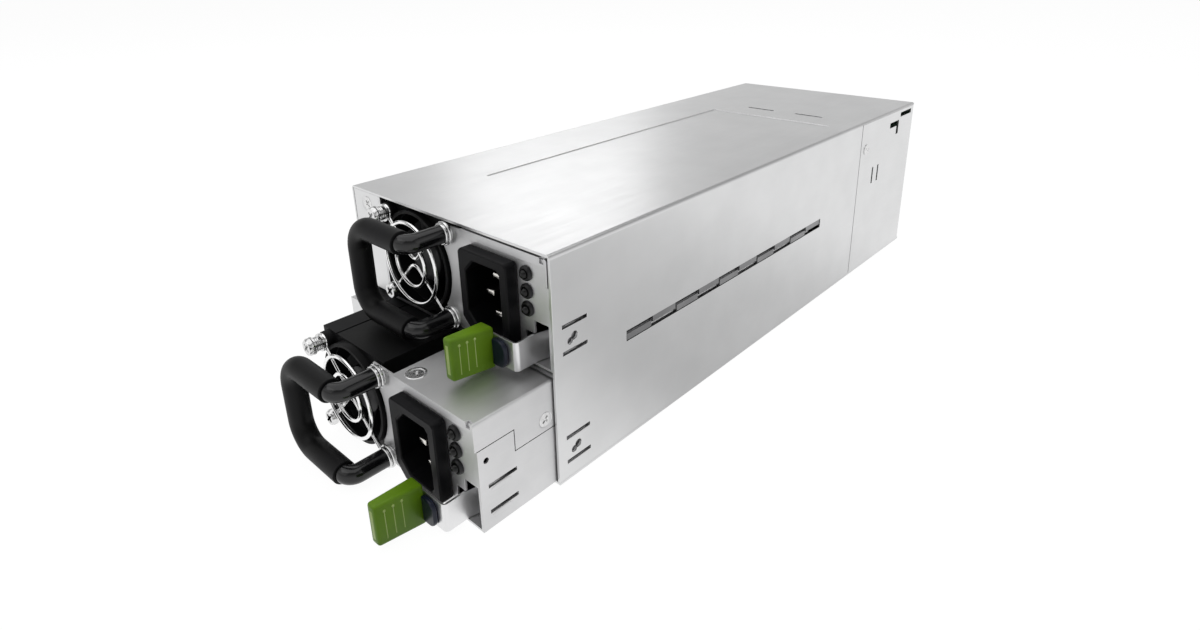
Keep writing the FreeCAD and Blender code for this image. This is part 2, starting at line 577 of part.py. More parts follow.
def cage_fasteners():
    """Countersunk screw of the channel cover and the cap screw that holds the rear section."""
    x, z = COVER_SCREW
    head = cone((x, FRONT, z), "y", "cover_screw_radius", "cover_screw_radius / 2", "cage_wall")
    shank = rod((x, f"{FRONT} + cage_wall", z), "y", "cover_screw_radius / 2", "screw_long")
    side_long = "(cage_wall + bay_side_gap / 2)"
    side = rod((f"{RIGHT} - {side_long}", *REAR_SCREW), "x", "foot_hole_radius", side_long)
    cap = cone((RIGHT, *REAR_SCREW), "x", "foot_hole_radius * 1.7", "foot_hole_radius * 1.2",
               "screw_cap_tall")
    keep(group([joined([head, shank]), joined([side, cap])]), "cage_screws")


# Module pieces, in the module's own frame: X from its left side, Y back from its front, Z up.

def seat(thing, label, bay):
    """Moves a finished module piece to its bay and names it."""
    front, base = BAYS[bay]
    place(thing, MODULE_LEFT, front, base)
    keep(thing, f"{bay}_{label}")


def case_base(bay):
    """Bottom pan, front panel with its cut-outs, and the lower half of the side walls."""
    body = new_body()
    floor = sketch_on(body, "top", "0")
    polygon(floor, [
        ("fan_bay_width", PANEL_FACE), (MODULE_WIDE, PANEL_FACE), (MODULE_WIDE, "module_length"),
        ("0", "module_length"), ("0", "duct_length"), ("fan_bay_width", "duct_length"),
    ])
    pad(body, floor, "case_wall")
    right = sketch_on(body, "side", f"{MODULE_WIDE} - case_wall")
    polygon(right, [
        (PANEL_FACE, "0"), ("module_length", "0"), ("module_length", "skirt_back_step"),
        ("skirt_step_at", "skirt_back_step"), ("skirt_step_at", "skirt_front_step"),
        (PANEL_FACE, "skirt_front_step"),
    ])
    pad(body, right, "case_wall")
    left = sketch_on(body, "side", "0")
    oblong(left, ("duct_length", "0"), ("module_length", "skirt_back_step"))
    pad(body, left, "case_wall")
    rear = sketch_on(body, "front", "module_length - case_wall")
    inner_right = f"{MODULE_WIDE} - case_wall"
    oblong(rear, ("case_wall", "0"), (inner_right, f"{MODULE_TALL} - case_wall"))
    pad(body, rear, "case_wall")
    panel = sketch_on(body, "front", PANEL_FACE)
    oblong(panel, ("handle_arm_at - collar_radius", "0"), (inner_right, f"{MODULE_TALL} - case_wall"))
    pad(body, panel, "case_wall")
    holes = sketch_on(body, "front", "0")
    circle(holes, FAN_X, FAN_Z, "panel_arc_radius")
    pocket(body, holes, f"{PANEL_BACK} + case_wall")
    openings = sketch_on(body, "front", "0")
    inlet_across = "(inlet_body_wide / 2 + inlet_gap)"
    inlet_up = "(inlet_body_tall / 2 + inlet_gap)"
    oblong(openings, (f"{INLET_X} - {inlet_across}", f"inlet_middle - {inlet_up}"),
           (f"{INLET_X} + {inlet_across}", f"inlet_middle + {inlet_up}"))
    for i in range(int(size("lamp_count"))):
        circle(openings, LAMP_X, f"lamp_top - {i} * lamp_pitch", "lamp_hole_radius + running_fit")
    for z in ("handle_arm_low", "handle_arm_high"):
        circle(openings, "handle_arm_at", z, "handle_stud_radius + running_fit")
    slot_left = f"({LATCH_X} - latch_strip_thick - latch_travel)"
    polygon(openings, [
        (slot_left, "case_wall"), (f"{LATCH_X} + latch_slot_wide", "case_wall"),
        (f"{LATCH_X} + latch_slot_wide", "latch_slot_high"), (LATCH_X, "latch_slot_high"),
        (LATCH_X, "latch_high + skirt_gap"), (slot_left, "latch_high + skirt_gap"),
    ])
    pocket(body, openings, f"{PANEL_BACK} + case_wall / 2")
    slits = sketch_on(body, "side", f"{MODULE_WIDE} - 2 * case_wall")
    for slit in ("tongue_low", "tongue_high"):
        oblong(slits, ("tongue_start", f"{slit} - tongue_slit / 2"),
               ("tongue_start + tongue_long", f"{slit} + tongue_slit / 2"))
    circle(slits, "pinhole_at", "pinhole_up", "pinhole_radius")
    for z in RIVETS_UP:
        circle(slits, LATCH_PIVOT_Y, z, "latch_rivet_radius + running_fit")
    pocket(body, slits, "case_wall * 3")
    card = sketch_on(body, "front", "module_length - 2 * case_wall")
    middle_x = f"({MODULE_WIDE} / 2)"
    oblong(card, (f"{middle_x} - card_wide / 2 - 4 * card_gap", "board_up - 4 * card_gap"),
           (f"{middle_x} + card_wide / 2 + 4 * card_gap", "board_up + board_thick + 4 * card_gap"))
    for column in (-2, -1, 0, 1, 2):
        x = f"({middle_x} + {column} * (vent_slot_long + vent_slot_gap / 2))"
        for row in (0, 1, 2):
            z = f"(case_vent_up + {row} * vent_slot_pitch)"
            oblong(card, (f"{x} - vent_slot_long / 2", f"{z} - vent_slot_wide / 2"),
                   (f"{x} + vent_slot_long / 2", f"{z} + vent_slot_wide / 2"))
    pocket(body, card, "case_wall * 3")
    seat(body, "case_base", bay)


def screw_heads():
    """Countersunk heads of the module's lid screw and side screw."""
    lid = cone(("top_screw_x", "top_screw_at", f"{MODULE_TALL} - case_wall"), "z",
               "top_screw_radius * 0.6", "top_screw_radius", "case_wall")
    side = cone((f"{MODULE_WIDE} - case_wall", "side_screw_at", "side_screw_up"), "x",
                "side_screw_radius * 0.6", "side_screw_radius", "case_wall")
    return [lid, side]


def case_cover(bay):
    """Lid with its front hem, skirts that meet the pan's walls, and the wall beside the fan bay."""
    body = new_body()
    high = MODULE_TALL
    under = f"({high} - case_wall)"
    lid = sketch_on(body, "top", under)
    polygon(lid, [
        ("fan_bay_width", "0"), (MODULE_WIDE, "0"), (MODULE_WIDE, "module_length"), ("0", "module_length"),
        ("0", "duct_length"), ("fan_bay_width", "duct_length"),
    ])
    pad(body, lid, "case_wall")
    skirt = sketch_on(body, "side", f"{MODULE_WIDE} - case_wall")
    step = "skirt_step_at + skirt_gap"
    front_low = "skirt_front_step + skirt_gap"
    back_low = "skirt_back_step + skirt_gap"
    polygon(skirt, [
        ("0", high), ("0", front_low), (step, front_low),
        (step, back_low), ("module_length", back_low), ("module_length", high),
    ])
    pad(body, skirt, "case_wall")
    hem = sketch_on(body, "front", "0")
    oblong(hem, ("fan_bay_width", f"{high} - hem_tall"), (MODULE_WIDE, high))
    pad(body, hem, "panel_setback - lid_gap / 2")
    inner = sketch_on(body, "side", "fan_bay_width")
    oblong(inner, (f"{PANEL_BACK} + lid_gap / 2", "case_wall + lid_gap"), ("duct_length", high))
    pad(body, inner, "case_wall")
    left = sketch_on(body, "side", "0")
    oblong(left, ("duct_length", "skirt_back_step + skirt_gap"), ("module_length", high))
    pad(body, left, "case_wall")
    bulkhead = sketch_on(body, "front", "duct_length")
    oblong(bulkhead, (DUCT_WIDE, "case_wall + lid_gap"), ("fan_bay_width + case_wall", high))
    pad(body, bulkhead, "case_wall")
    doc.recompute()
    right_x = body.Shape.BoundBox.XMax
    lid_z = body.Shape.BoundBox.ZMax

    def right_bend(edge):
        spot = middle(edge)
        return along(Y_AXIS)(edge) and abs(spot.x - right_x) < 0.01 and abs(spot.z - lid_z) < 0.01

    soften(body, "corner_radius", right_bend)
    relief = sketch_on(body, "front", f"-{PAST}")
    oblong(relief, (f"{MODULE_WIDE} - relief_out - relief_wide", f"{high} - relief_tall"),
           (f"{MODULE_WIDE} - relief_out", f"{high} + {PAST}"))
    pocket(body, relief, f"relief_deep + {PAST}")
    seat(cut(body, screw_heads()), "case_cover", bay)


def fan(bay):
    """Ducted fan: moulded duct with a round mouth, square frame, and bladed rotor."""
    duct = new_body()
    shell = sketch_on(duct, "front", "duct_setback")
    oblong(shell, ("0", "0"), (DUCT_WIDE, MODULE_TALL))
    pad(duct, shell, "duct_length - duct_setback")
    mouth = sketch_on(duct, "front", "-mouth_proud")
    circle(mouth, FAN_X, FAN_Z, "mouth_radius")
    pad(duct, mouth, "duct_setback + mouth_proud")
    bosses = sketch_on(duct, "front", "-mouth_proud")
    for z in ("-", "+"):
        circle(bosses, f"{FAN_X} - fan_screw_pitch / 2", f"{FAN_Z} {z} fan_screw_pitch / 2", "boss_radius")
    pad(duct, bosses, "duct_setback + mouth_proud")
    room = sketch_on(duct, "front", "fan_at")
    half = "(fan_size / 2 + fan_gap)"
    oblong(room, (f"{FAN_X} - {half}", f"{FAN_Z} - {half}"), (f"{FAN_X} + {half}", f"{FAN_Z} + {half}"))
    pocket(duct, room, "duct_length")
    bore = sketch_on(duct, "front", "-2 * mouth_proud")
    circle(bore, FAN_X, FAN_Z, "mouth_bore_radius")
    for z in ("-", "+"):
        circle(bore, f"{FAN_X} - fan_screw_pitch / 2", f"{FAN_Z} {z} fan_screw_pitch / 2",
               "captive_stem_radius + running_fit")
    pocket(duct, bore, "fan_at + 4 * mouth_proud")
    groove = sketch_on(duct, "top", f"{MODULE_TALL} - bead_deep")
    oblong(groove, ("duct_groove_at - duct_groove_wide / 2", "duct_setback - 1"),
           ("duct_groove_at + duct_groove_wide / 2", "duct_length + 1"))
    pocket(duct, groove, "2 * bead_deep")
    seat(duct, "fan_duct", bay)

    frame = new_body()
    square = sketch_on(frame, "front", "fan_at")
    oblong(square, (f"{FAN_X} - fan_size / 2", f"{FAN_Z} - fan_size / 2"),
           (f"{FAN_X} + fan_size / 2", f"{FAN_Z} + fan_size / 2"))
    pad(frame, square, "fan_depth")
    soften(frame, "captive_head_radius", along(Y_AXIS))
    hollow = sketch_on(frame, "front", "fan_at - 1")
    circle(hollow, FAN_X, FAN_Z, "fan_bore_radius")
    for x in ("-", "+"):
        for z in ("-", "+"):
            circle(hollow, f"{FAN_X} {x} fan_screw_pitch / 2", f"{FAN_Z} {z} fan_screw_pitch / 2",
                   "captive_stem_radius + running_fit")
    pocket(frame, hollow, "fan_depth + 2")
    motor = sketch_on(frame, "front", "fan_at + fan_depth - motor_deep")
    circle(motor, FAN_X, FAN_Z, "fan_hub_radius")
    pad(frame, motor, "motor_deep")
    reach = "(fan_bore_radius + case_wall / 2)"
    for across, up in ((reach, "fan_strut_wide / 2"), ("fan_strut_wide / 2", reach)):
        strut = sketch_on(frame, "front", "fan_at + fan_depth - fan_strut_deep")
        oblong(strut, (f"{FAN_X} - {across}", f"{FAN_Z} - {up}"), (f"{FAN_X} + {across}", f"{FAN_Z} + {up}"))
        pad(frame, strut, "fan_strut_deep")
    shaft = sketch_on(frame, "front", "fan_at + 2 * rotor_clearance")
    circle(shaft, FAN_X, FAN_Z, "fan_shaft_radius")
    pad(frame, shaft, "fan_depth - motor_deep")
    seat(frame, "fan_frame", bay)

    rotor = new_body()
    hub = sketch_on(rotor, "front", "fan_at + rotor_clearance")
    circle(hub, "0", "0", "fan_hub_radius")
    pad(rotor, hub, "fan_depth - motor_deep - 2 * rotor_clearance")
    blade = sketch_on(rotor, "top", "fan_hub_radius - blade_root")
    near = "(fan_at + blade_front_gap)"
    far = "(fan_at + fan_depth - blade_back_gap)"
    halfway = f"(({near} + {far}) / 2 - blade_camber)"
    polygon(blade, [
        ("-blade_lean", near), ("-blade_lean + blade_thick", near), ("blade_thick / 2", halfway),
        ("blade_lean", far), ("blade_lean - blade_thick", far), ("-blade_thick", f"{halfway} + blade_thick"),
    ])
    lone = pad(rotor, blade, "fan_blade_reach - fan_hub_radius + blade_root")
    turn = rotor.newObject("PartDesign::PolarPattern", "Blades")
    turn.Originals = [lone]
    turn.Axis = ([axis for axis in rotor.Origin.OriginFeatures if axis.Role == "Y_Axis"][0], [""])
    turn.Angle = 360
    tie(turn, Occurrences="fan_blade_count")
    rotor.Tip = turn
    bearing = sketch_on(rotor, "front", "fan_at + 1.5 * rotor_clearance")
    circle(bearing, "0", "0", "fan_shaft_radius + running_fit")
    pocket(rotor, bearing, "fan_depth")
    front, base = BAYS[bay]
    place(rotor, f"{MODULE_LEFT} + {FAN_X}", front, f"{base} + {FAN_Z}")
    keep(rotor, f"{bay}_fan_rotor")


def guard_wire(upper, y):
    """One bent wire of the guard: an eye, a leg to the kink, a leg back out and a hook."""
    up = "+" if upper else "-"
    rise = 1 if upper else -1
    inward = FreeCAD.Vector(1, 0, -rise).normalize()
    outward = FreeCAD.Vector(1, 0, rise).normalize()

    def spot(distance):
        """A point of the guard's plane, at a distance from the middle along one of its diagonals."""
        return f"{FAN_X} + ({distance}) * sqrt(0.5)", f"{FAN_Z} {up} abs({distance}) * sqrt(0.5)"

    def leg(start, way, length):
        x, z = spot(start)
        wire = doc.addObject("Part::Cylinder", "Leg")
        wire.Placement = FreeCAD.Placement(FreeCAD.Vector(), FreeCAD.Rotation(Z_AXIS, way))
        place(wire, x, y, z)
        return tie(wire, Radius="guard_wire_radius", Height=length)

    eye = hoop((f"{FAN_X} - fan_screw_pitch / 2", f"{y} - guard_cross_gap",
                f"{FAN_Z} {up} fan_screw_pitch / 2"), "y", "guard_eye_radius", "guard_wire_radius")
    first = "(fan_screw_pitch * sqrt(0.5) - guard_eye_radius)"
    reach = "(mouth_radius + 1.3 * guard_wire_radius)"
    turn = f"({reach} - guard_hook_radius)"
    kink = bend((FAN_X, y, f"{FAN_Z} {up} guard_kink_radius * sqrt(2)"), -outward, inward,
                "guard_kink_radius", "guard_wire_radius")
    x, z = spot(turn)
    behind = f"({y} + guard_hook_radius)"
    hook = bend((x, behind, z), -Y_AXIS, outward, "guard_hook_radius", "guard_wire_radius")
    x, z = spot(reach)
    end = rod((x, behind, z), "y", "guard_wire_radius", f"duct_setback - {behind}")
    return [eye, leg(f"-{first}", inward, f"{first} - guard_kink_radius"), kink,
            leg("guard_kink_radius", outward, f"{turn} - guard_kink_radius"), hook, end]


def fan_guard(bay):
    """Chrome wire guard: two rings on two kinked wires, with eyes at the left screws."""
    y = "(-mouth_proud - guard_gap - guard_wire_radius - guard_cross_gap)"
    ring_y = f"({y} - 1.5 * guard_wire_radius)"
    wires = [hoop((FAN_X, ring_y, FAN_Z), "y", radius, "guard_wire_radius")
             for radius in ("guard_outer_radius", "guard_inner_radius")]
    seat(joined(wires + guard_wire(True, y) + guard_wire(False, y)), "fan_guard", bay)
    x = f"({FAN_X} - fan_screw_pitch / 2)"
    eye_front = f"({y} - guard_cross_gap - guard_wire_radius)"
    low = f"({FAN_Z} - fan_screw_pitch / 2)"
    high = f"({FAN_Z} + fan_screw_pitch / 2)"
    stem = "captive_stem_radius"
    plain = [
        rod((x, f"{eye_front} - captive_head_long", low), "y", "captive_head_radius", "captive_head_long"),
        rod((x, eye_front, low), "y", stem, "fan_at + captive_reach"),
    ]
    # head, sleeve, washer, spring pack and washer, each with its share of the captive screw's reach
    steps = ((1.0, 0.23), (0.8, 0.2), (1.08, 0.12), (0.8, 0.31), (1.08, 0.14))
    captive = [rod((x, f"{eye_front} - captive_reach", high), "y", stem, "fan_at + 2 * captive_reach")]
    done = 0.0
    for wide, share in steps:
        captive.append(rod((x, f"{eye_front} - {1 - done:.2f} * captive_reach", high), "y",
                           f"{wide} * captive_head_radius", f"{share} * captive_reach"))
        done += share
    seat(group([joined(plain), joined(captive)]), "guard_screws", bay)


def bend(centre, start, end, radius, bar_radius):
    """A quarter of a bent round bar, from one side of its centre to the next."""
    arc = doc.addObject("Part::Torus", "Bend")
    turn = FreeCAD.Rotation(start, end, start.cross(end), "XYZ")
    arc.Placement = FreeCAD.Placement(FreeCAD.Vector(), turn)
    arc.Angle3 = 90
    place(arc, *centre)
    return tie(arc, Radius1=radius, Radius2=bar_radius)


def handle_loop(bar_radius):
    """The handle's loop without its arms: two runs across, a run up and two corners."""
    out = "(-handle_reach)"
    left = "handle_left"
    low = "handle_arm_low"
    high = "handle_arm_high"
    corner_x = f"({left} + handle_corner_radius)"
    runs = [rod((corner_x, out, z), "x", bar_radius, f"handle_arm_at - handle_bend_radius - {corner_x}")
            for z in (low, high)]
    upright = rod((left, out, f"{low} + handle_corner_radius"), "z", bar_radius,
                  f"{high} - {low} - 2 * handle_corner_radius")
    corners = [
        bend((corner_x, out, f"{high} - handle_corner_radius"), Z_AXIS, -X_AXIS,
             "handle_corner_radius", bar_radius),
        bend((corner_x, out, f"{low} + handle_corner_radius"), -X_AXIS, -Z_AXIS,
             "handle_corner_radius", bar_radius),
    ]
    return runs + [upright] + corners


def handle(bay):
    """Bent bar handle with a sleeve on its loop, and collars where its arms meet the panel."""
    shoulder = f"({PANEL_FACE} - collar_count * collar_thick)"
    elbow_x = "(handle_arm_at - handle_bend_radius)"
    elbow_y = "(-handle_reach + handle_bend_radius)"
    bar = handle_loop("handle_arm_radius")
    for z in ("handle_arm_low", "handle_arm_high"):
        bar.append(bend((elbow_x, elbow_y, z), X_AXIS, -Y_AXIS, "handle_bend_radius",
                        "handle_arm_radius"))
        bar.append(rod(("handle_arm_at", elbow_y, z), "y", "handle_arm_radius",
                       f"{shoulder} - {elbow_y}"))
        bar.append(rod(("handle_arm_at", shoulder, z), "y", "handle_stud_radius",
                       f"{PANEL_BACK} - {shoulder}"))
    seat(joined(bar), "handle_bar", bay)
    sleeve = joined(handle_loop("handle_grip_radius"))
    bore = joined(handle_loop("handle_arm_radius + running_fit"))
    seat(cut(sleeve, [bore]), "handle_grip", bay)
    collars = []
    for z in ("handle_arm_low", "handle_arm_high"):
        for step, radius in enumerate(("collar_seat_radius", "collar_radius", "collar_radius * 0.9")):
            start = f"({PANEL_FACE} - collar_thick * {step + 1})"
            ring = rod(("handle_arm_at", start, z), "y", radius, "collar_thick")
            hole = rod(("handle_arm_at", f"{start} - collar_thick", z), "y",
                       "handle_stud_radius + running_fit", "3 * collar_thick")
            collars.append(cut(ring, [hole]))
    seat(group(collars), "handle_collars", bay)


def inlet(bay):
    """Appliance inlet, upright: flange and body with the chamfered cavity, and its three blades."""
    body = new_body()
    face = f"({PANEL_FACE} - inlet_proud)"
    flange = sketch_on(body, "front", face)
    left = f"{INLET_X} - inlet_wide / 2"
    right = f"{INLET_X} + inlet_wide / 2"
    low = "inlet_middle - inlet_tall / 2"
    high = "inlet_middle + inlet_tall / 2"
    polygon(flange, [(f"{left} + inlet_chamfer_across", low), (right, low), (right, high), (left, high),
                     (left, f"{low} + inlet_chamfer_up")])
    pad(body, flange, "inlet_proud")
    soften(body, "corner_radius", along(Y_AXIS))
    block_sketch = sketch_on(body, "front", PANEL_FACE)
    oblong(block_sketch, (f"{INLET_X} - inlet_body_wide / 2", "inlet_middle - inlet_body_tall / 2"),
           (f"{INLET_X} + inlet_body_wide / 2", "inlet_middle + inlet_body_tall / 2"))
    pad(body, block_sketch, "inlet_body_deep")
    cavity = sketch_on(body, "front", f"{face} - 1")
    left = f"({INLET_X} - inlet_cavity_wide / 2)"
    right = f"({INLET_X} + inlet_cavity_wide / 2)"
    low = "(inlet_middle - inlet_cavity_tall / 2)"
    high = "(inlet_middle + inlet_cavity_tall / 2)"
    polygon(cavity, [
        (f"{left} + inlet_chamfer_across", low), (f"{right} - inlet_corner", low),
        (right, f"{low} + inlet_corner"), (right, f"{high} - inlet_corner"),
        (f"{right} - inlet_corner", high), (f"{left} + inlet_chamfer_across", high),
        (left, f"{high} - inlet_chamfer_up"), (left, f"{low} + inlet_chamfer_up"),
    ])
    pocket(body, cavity, "inlet_cavity_deep + 1")
    spots = [(f"({INLET_X} - inlet_pin_offset)", "inlet_middle"),
             (f"({INLET_X} + inlet_pin_offset)", "(inlet_middle - inlet_pin_pitch / 2)"),
             (f"({INLET_X} + inlet_pin_offset)", "(inlet_middle + inlet_pin_pitch / 2)")]
    slots = sketch_on(body, "front", f"{face} + inlet_cavity_deep - 1")
    for x, z in spots:
        oblong(slots, (f"{x} - inlet_pin_wide / 2", f"{z} - inlet_pin_thick / 2"),
               (f"{x} + inlet_pin_wide / 2", f"{z} + inlet_pin_thick / 2"))
    pocket(body, slots, "inlet_body_deep")
    seat(body, "inlet_shroud", bay)
    floor = f"({face} + inlet_cavity_deep)"
    tail = f"{PANEL_FACE} + inlet_body_deep + inlet_pin_tail"
    blades = []
    for x, z in spots:
        blades.append(block(
            (f"{x} - inlet_pin_wide / 2", f"{floor} - inlet_pin_long", f"{z} - inlet_pin_thick / 2"),
            (f"{x} + inlet_pin_wide / 2", tail, f"{z} + inlet_pin_thick / 2")))
    seat(group(blades), "inlet_pins", bay)


def lamps(bay):
    """Three indicator lamps: a bezel clipped in the panel and a domed lens in each."""
    bezels = []
    lenses = []
    for i in range(int(size("lamp_count"))):
        z = f"(lamp_top - {i} * lamp_pitch)"
        proud = f"({PANEL_FACE} - lamp_bezel_proud)"
        ring = rod((LAMP_X, proud, z), "y", "lamp_bezel_radius", "lamp_bezel_proud")
        neck = rod((LAMP_X, PANEL_FACE, z), "y", "lamp_hole_radius", "2 * case_wall")
        hole = rod((LAMP_X, f"{proud} - lamp_bezel_proud", z), "y", "lamp_lens_radius + running_fit",
                   "4 * lamp_bezel_proud + 4 * case_wall")
        bezels.append(cut(joined([ring, neck]), [hole]))
        stem = rod((LAMP_X, proud, z), "y", "lamp_lens_radius", "lamp_bezel_proud + 2 * case_wall")
        dome = doc.addObject("Part::Sphere", "Dome")
        place(dome, LAMP_X, proud, z)
        tie(dome, Radius="lamp_lens_radius")
        lenses.append(joined([stem, dome]))
    seat(group(bezels), "lamp_bezels", bay)
    seat(group(lenses), "lamp_lenses", bay)


def latch(bay):
    """Spring-steel latch strip with its rivets, a moulded root and the green thumb tab."""
    strip = new_body()
    plan = sketch_on(strip, "top", "latch_low")
    out = "(-latch_reach)"
    wall_face = f"({MODULE_WIDE} - case_wall - latch_play)"
    thick = "latch_strip_thick"
    polygon(plan, [
        (f"{LATCH_X} - latch_leg", out), (LATCH_X, out), (LATCH_X, PANEL_BACK),
        (wall_face, "latch_knee_at"), (wall_face, "latch_root_at"),
        (f"{wall_face} - {thick}", "latch_root_at"), (f"{wall_face} - {thick}", "latch_knee_at"),
        (f"{LATCH_X} - {thick}", f"{PANEL_BACK} + {thick} / 4"),
        (f"{LATCH_X} - {thick}", f"{out} + {thick}"),
        (f"{LATCH_X} - latch_leg", f"{out} + {thick}"),
    ])
    pad(strip, plan, "latch_high - latch_low")
    doc.recompute()
    front_y = -size("latch_reach")
    inner_x = strip.Shape.BoundBox.XMin + size("latch_leg") / 2

    def front_bend(edge):
        spot = middle(edge)
        return along(Z_AXIS)(edge) and abs(spot.y - front_y) < 0.01 and spot.x > inner_x

    soften(strip, "latch_bend_radius", front_bend)
    holes = sketch_on(strip, "side", f"{wall_face} - 2 * {thick}")
    for z in RIVETS_UP:
        circle(holes, LATCH_PIVOT_Y, z, "latch_rivet_radius + 2 * running_fit")
    pocket(strip, holes, f"3 * {thick}")
    seat(strip, "latch_strip", bay)
    rivets = []
    head_back = f"({wall_face} - {thick} - latch_play)"
    for z in RIVETS_UP:
        head = rod((f"{head_back} - latch_rivet_radius / 2", LATCH_PIVOT_Y, z), "x",
                   "2 * latch_rivet_radius", "latch_rivet_radius / 2")
        shank = rod((head_back, LATCH_PIVOT_Y, z), "x", "latch_rivet_radius",
                    f"{MODULE_WIDE} - {head_back}")
        rivets.append(joined([head, shank]))
    seat(group(rivets), "latch_rivets", bay)
    core = new_body()
    plate = sketch_on(core, "front", f"{out} - latch_core_thick")
    core_left = f"({LATCH_X} - latch_leg + tab_wide)"
    oblong(plate, (core_left, "latch_low"),
           (f"{core_left} + latch_core_wide", "latch_high - latch_strip_thick"))
    pad(core, plate, "latch_core_thick")
    doc.recompute()
    core_right = core.Shape.BoundBox.XMax

    def round_end(edge):
        return along(Y_AXIS)(edge) and abs(middle(edge).x - core_right) < 0.01

    soften(core, "latch_core_wide / 2", round_end)
    seat(core, "latch_core", bay)
    tab = new_body()
    outline = sketch_on(tab, "top", "tab_low")
    tab_left = f"({LATCH_X} - latch_leg)"
    oblong(outline, (tab_left, f"{out} - tab_long"), (f"{tab_left} + tab_wide", out))
    pad(tab, outline, "tab_high - tab_low")
    doc.recompute()
    tab_front = tab.Shape.BoundBox.YMin

    def thumb_edge(edge):
        return along(Z_AXIS)(edge) and abs(middle(edge).y - tab_front) < 0.01

    soften(tab, "tab_wall", thumb_edge)
    slit = sketch_on(tab, "front", f"{out} - tab_long - 1")
    oblong(slit, (f"{tab_left} + tab_wall", "tab_low + tab_wall"),
           (f"{tab_left} + 2 * tab_wall", "tab_high - 2 * tab_wall"))
    pocket(tab, slit, "1 + 2 * tab_wall")
    rib = sketch_on(tab, "top", "tab_low + tab_wall")
    rib_y = f"({out} - tab_long + tab_rib_pitch * 1.3)"
    polygon(rib, [(f"{tab_left} + tab_wide - tab_rib_proud", f"{rib_y} - tab_rib_wide / 2"),
                  (f"{tab_left} + tab_wide + tab_rib_proud / 2", f"{rib_y} - tab_rib_wide / 2"),
                  (f"{tab_left} + tab_wide + tab_rib_proud", rib_y),
                  (f"{tab_left} + tab_wide + tab_rib_proud / 2", f"{rib_y} + tab_rib_wide / 2"),
                  (f"{tab_left} + tab_wide - tab_rib_proud", f"{rib_y} + tab_rib_wide / 2")])
    lone = pad(tab, rib, "tab_high - tab_low - 3 * tab_wall")
    row = tab.newObject("PartDesign::LinearPattern", "Ribs")
    row.Originals = [lone]
    row.Direction = ([axis for axis in tab.Origin.OriginFeatures if axis.Role == "Y_Axis"][0], [""])
    tie(row, Length="tab_rib_pitch * (tab_rib_count - 1)", Occurrences="tab_rib_count")
    tab.Tip = row
    seat(tab, "latch_tab", bay)


def module_inside(bay):
    """Main board with its edge card, and the large parts that stand on it."""
    board_low = "board_up"
    board_high = "(board_up + board_thick)"
    middle_x = f"({MODULE_WIDE} / 2)"
    start = "(duct_length + case_wall + board_side_gap)"
    side = "(case_wall + board_side_gap)"
    plate = block((side, start, board_low),
                  (f"{MODULE_WIDE} - {side}", f"module_length - {side}", board_high))
    card = block((f"{middle_x} - card_wide / 2", "module_length - card_reach", board_low),
                 (f"{middle_x} + card_wide / 2", "module_length + card_reach", board_high))
    posts = [rod((x, y, "case_wall"), "z", "board_post_radius", "board_up - case_wall")
             for x in ("board_post_inset", f"{MODULE_WIDE} - board_post_inset")
             for y in (f"{start} + board_post_inset", "module_length - board_post_inset - card_reach")]
    seat(joined([plate, card] + posts), "main_board", bay)
    core_y = f"({start} + core_at)"
    core_x = f"({middle_x} - core_wide / 2)"
    ends = [block((core_x, f"{core_y} + {i} * (core_long - core_plate)", board_high),
                  (f"{core_x} + core_wide", f"{core_y} + {i} * (core_long - core_plate) + core_plate",
                   f"{board_high} + core_tall"))
            for i in (0, 1)]
    coil = rod((middle_x, f"{core_y} + core_plate", f"{board_high} + core_tall / 2"), "y",
               "core_tall / 2 - coil_inset", "core_long - 2 * core_plate")
    seat(joined(ends + [coil]), "transformer", bay)
    cans = []
    for i in (0, 1):
        x = f"(case_wall + board_side_gap + can_radius * {2 * i + 1} + {i})"
        cans.append(rod((x, f"{start} + sink_inset", f"{board_high} + can_radius"), "y",
                        "can_radius", "can_long"))
    seat(group(cans), "bulk_capacitors", bay)
    sinks = []
    sink_y = f"({start} + sink_inset)"
    for i in (0, 1):
        x = f"({MODULE_WIDE} - sink_edge_gap - sink_apart * {i})"
        top = f"({board_high} + sink_tall)"
        web = block((x, sink_y, board_high), (f"{x} + sink_thick", f"{sink_y} + sink_long", top))
        fins = []
        for k in range(int(size("sink_fin_count"))):
            fins.append(block(
                (f"{x} - sink_fin_reach", f"{sink_y} + sink_fin_pitch * {k + 0.5}", f"{top} - sink_thick"),
                (f"{x} + sink_thick", f"{sink_y} + sink_fin_pitch * {k + 1}", top)))
        sinks.append(joined([web] + fins))
    seat(group(sinks), "heat_sinks", bay)


def case_screws(bay):
    """Lid screw and side screw: the heads fill the countersinks and carry short shanks."""
    lid, side = screw_heads()
    lid_shank = rod(("top_screw_x", "top_screw_at", f"{MODULE_TALL} - case_wall - case_screw_long"), "z",
                    "top_screw_radius * 0.6", "case_screw_long")
    side_shank = rod((f"{MODULE_WIDE} - case_wall - case_screw_long", "side_screw_at", "side_screw_up"), "x",
                     "side_screw_radius * 0.6", "case_screw_long")
    seat(group([joined([lid, lid_shank]), joined([side, side_shank])]), "case_screws", bay)


CAGE_PIECES = (cage_shell, cage_floor, divider_shelf, service_channel, rear_section, backplane,
               cage_fasteners)
MODULE_PIECES = (case_base, case_cover, fan, fan_guard, handle, inlet, lamps, latch, module_inside,
                 case_screws)
for build in CAGE_PIECES:
    build()
for bay_name in BAYS:
    for build in MODULE_PIECES:
        build(bay_name)
doc.recompute()

failed = [thing.Name for thing in doc.Objects if {"Invalid", "Error"} & set(thing.State)]
if failed:
    raise RuntimeError(f"objects in error: {failed}")
for piece in pieces:
    if piece.Shape.isNull() or not piece.Shape.isValid():
        raise RuntimeError(f"{piece.Label} has no valid shape")

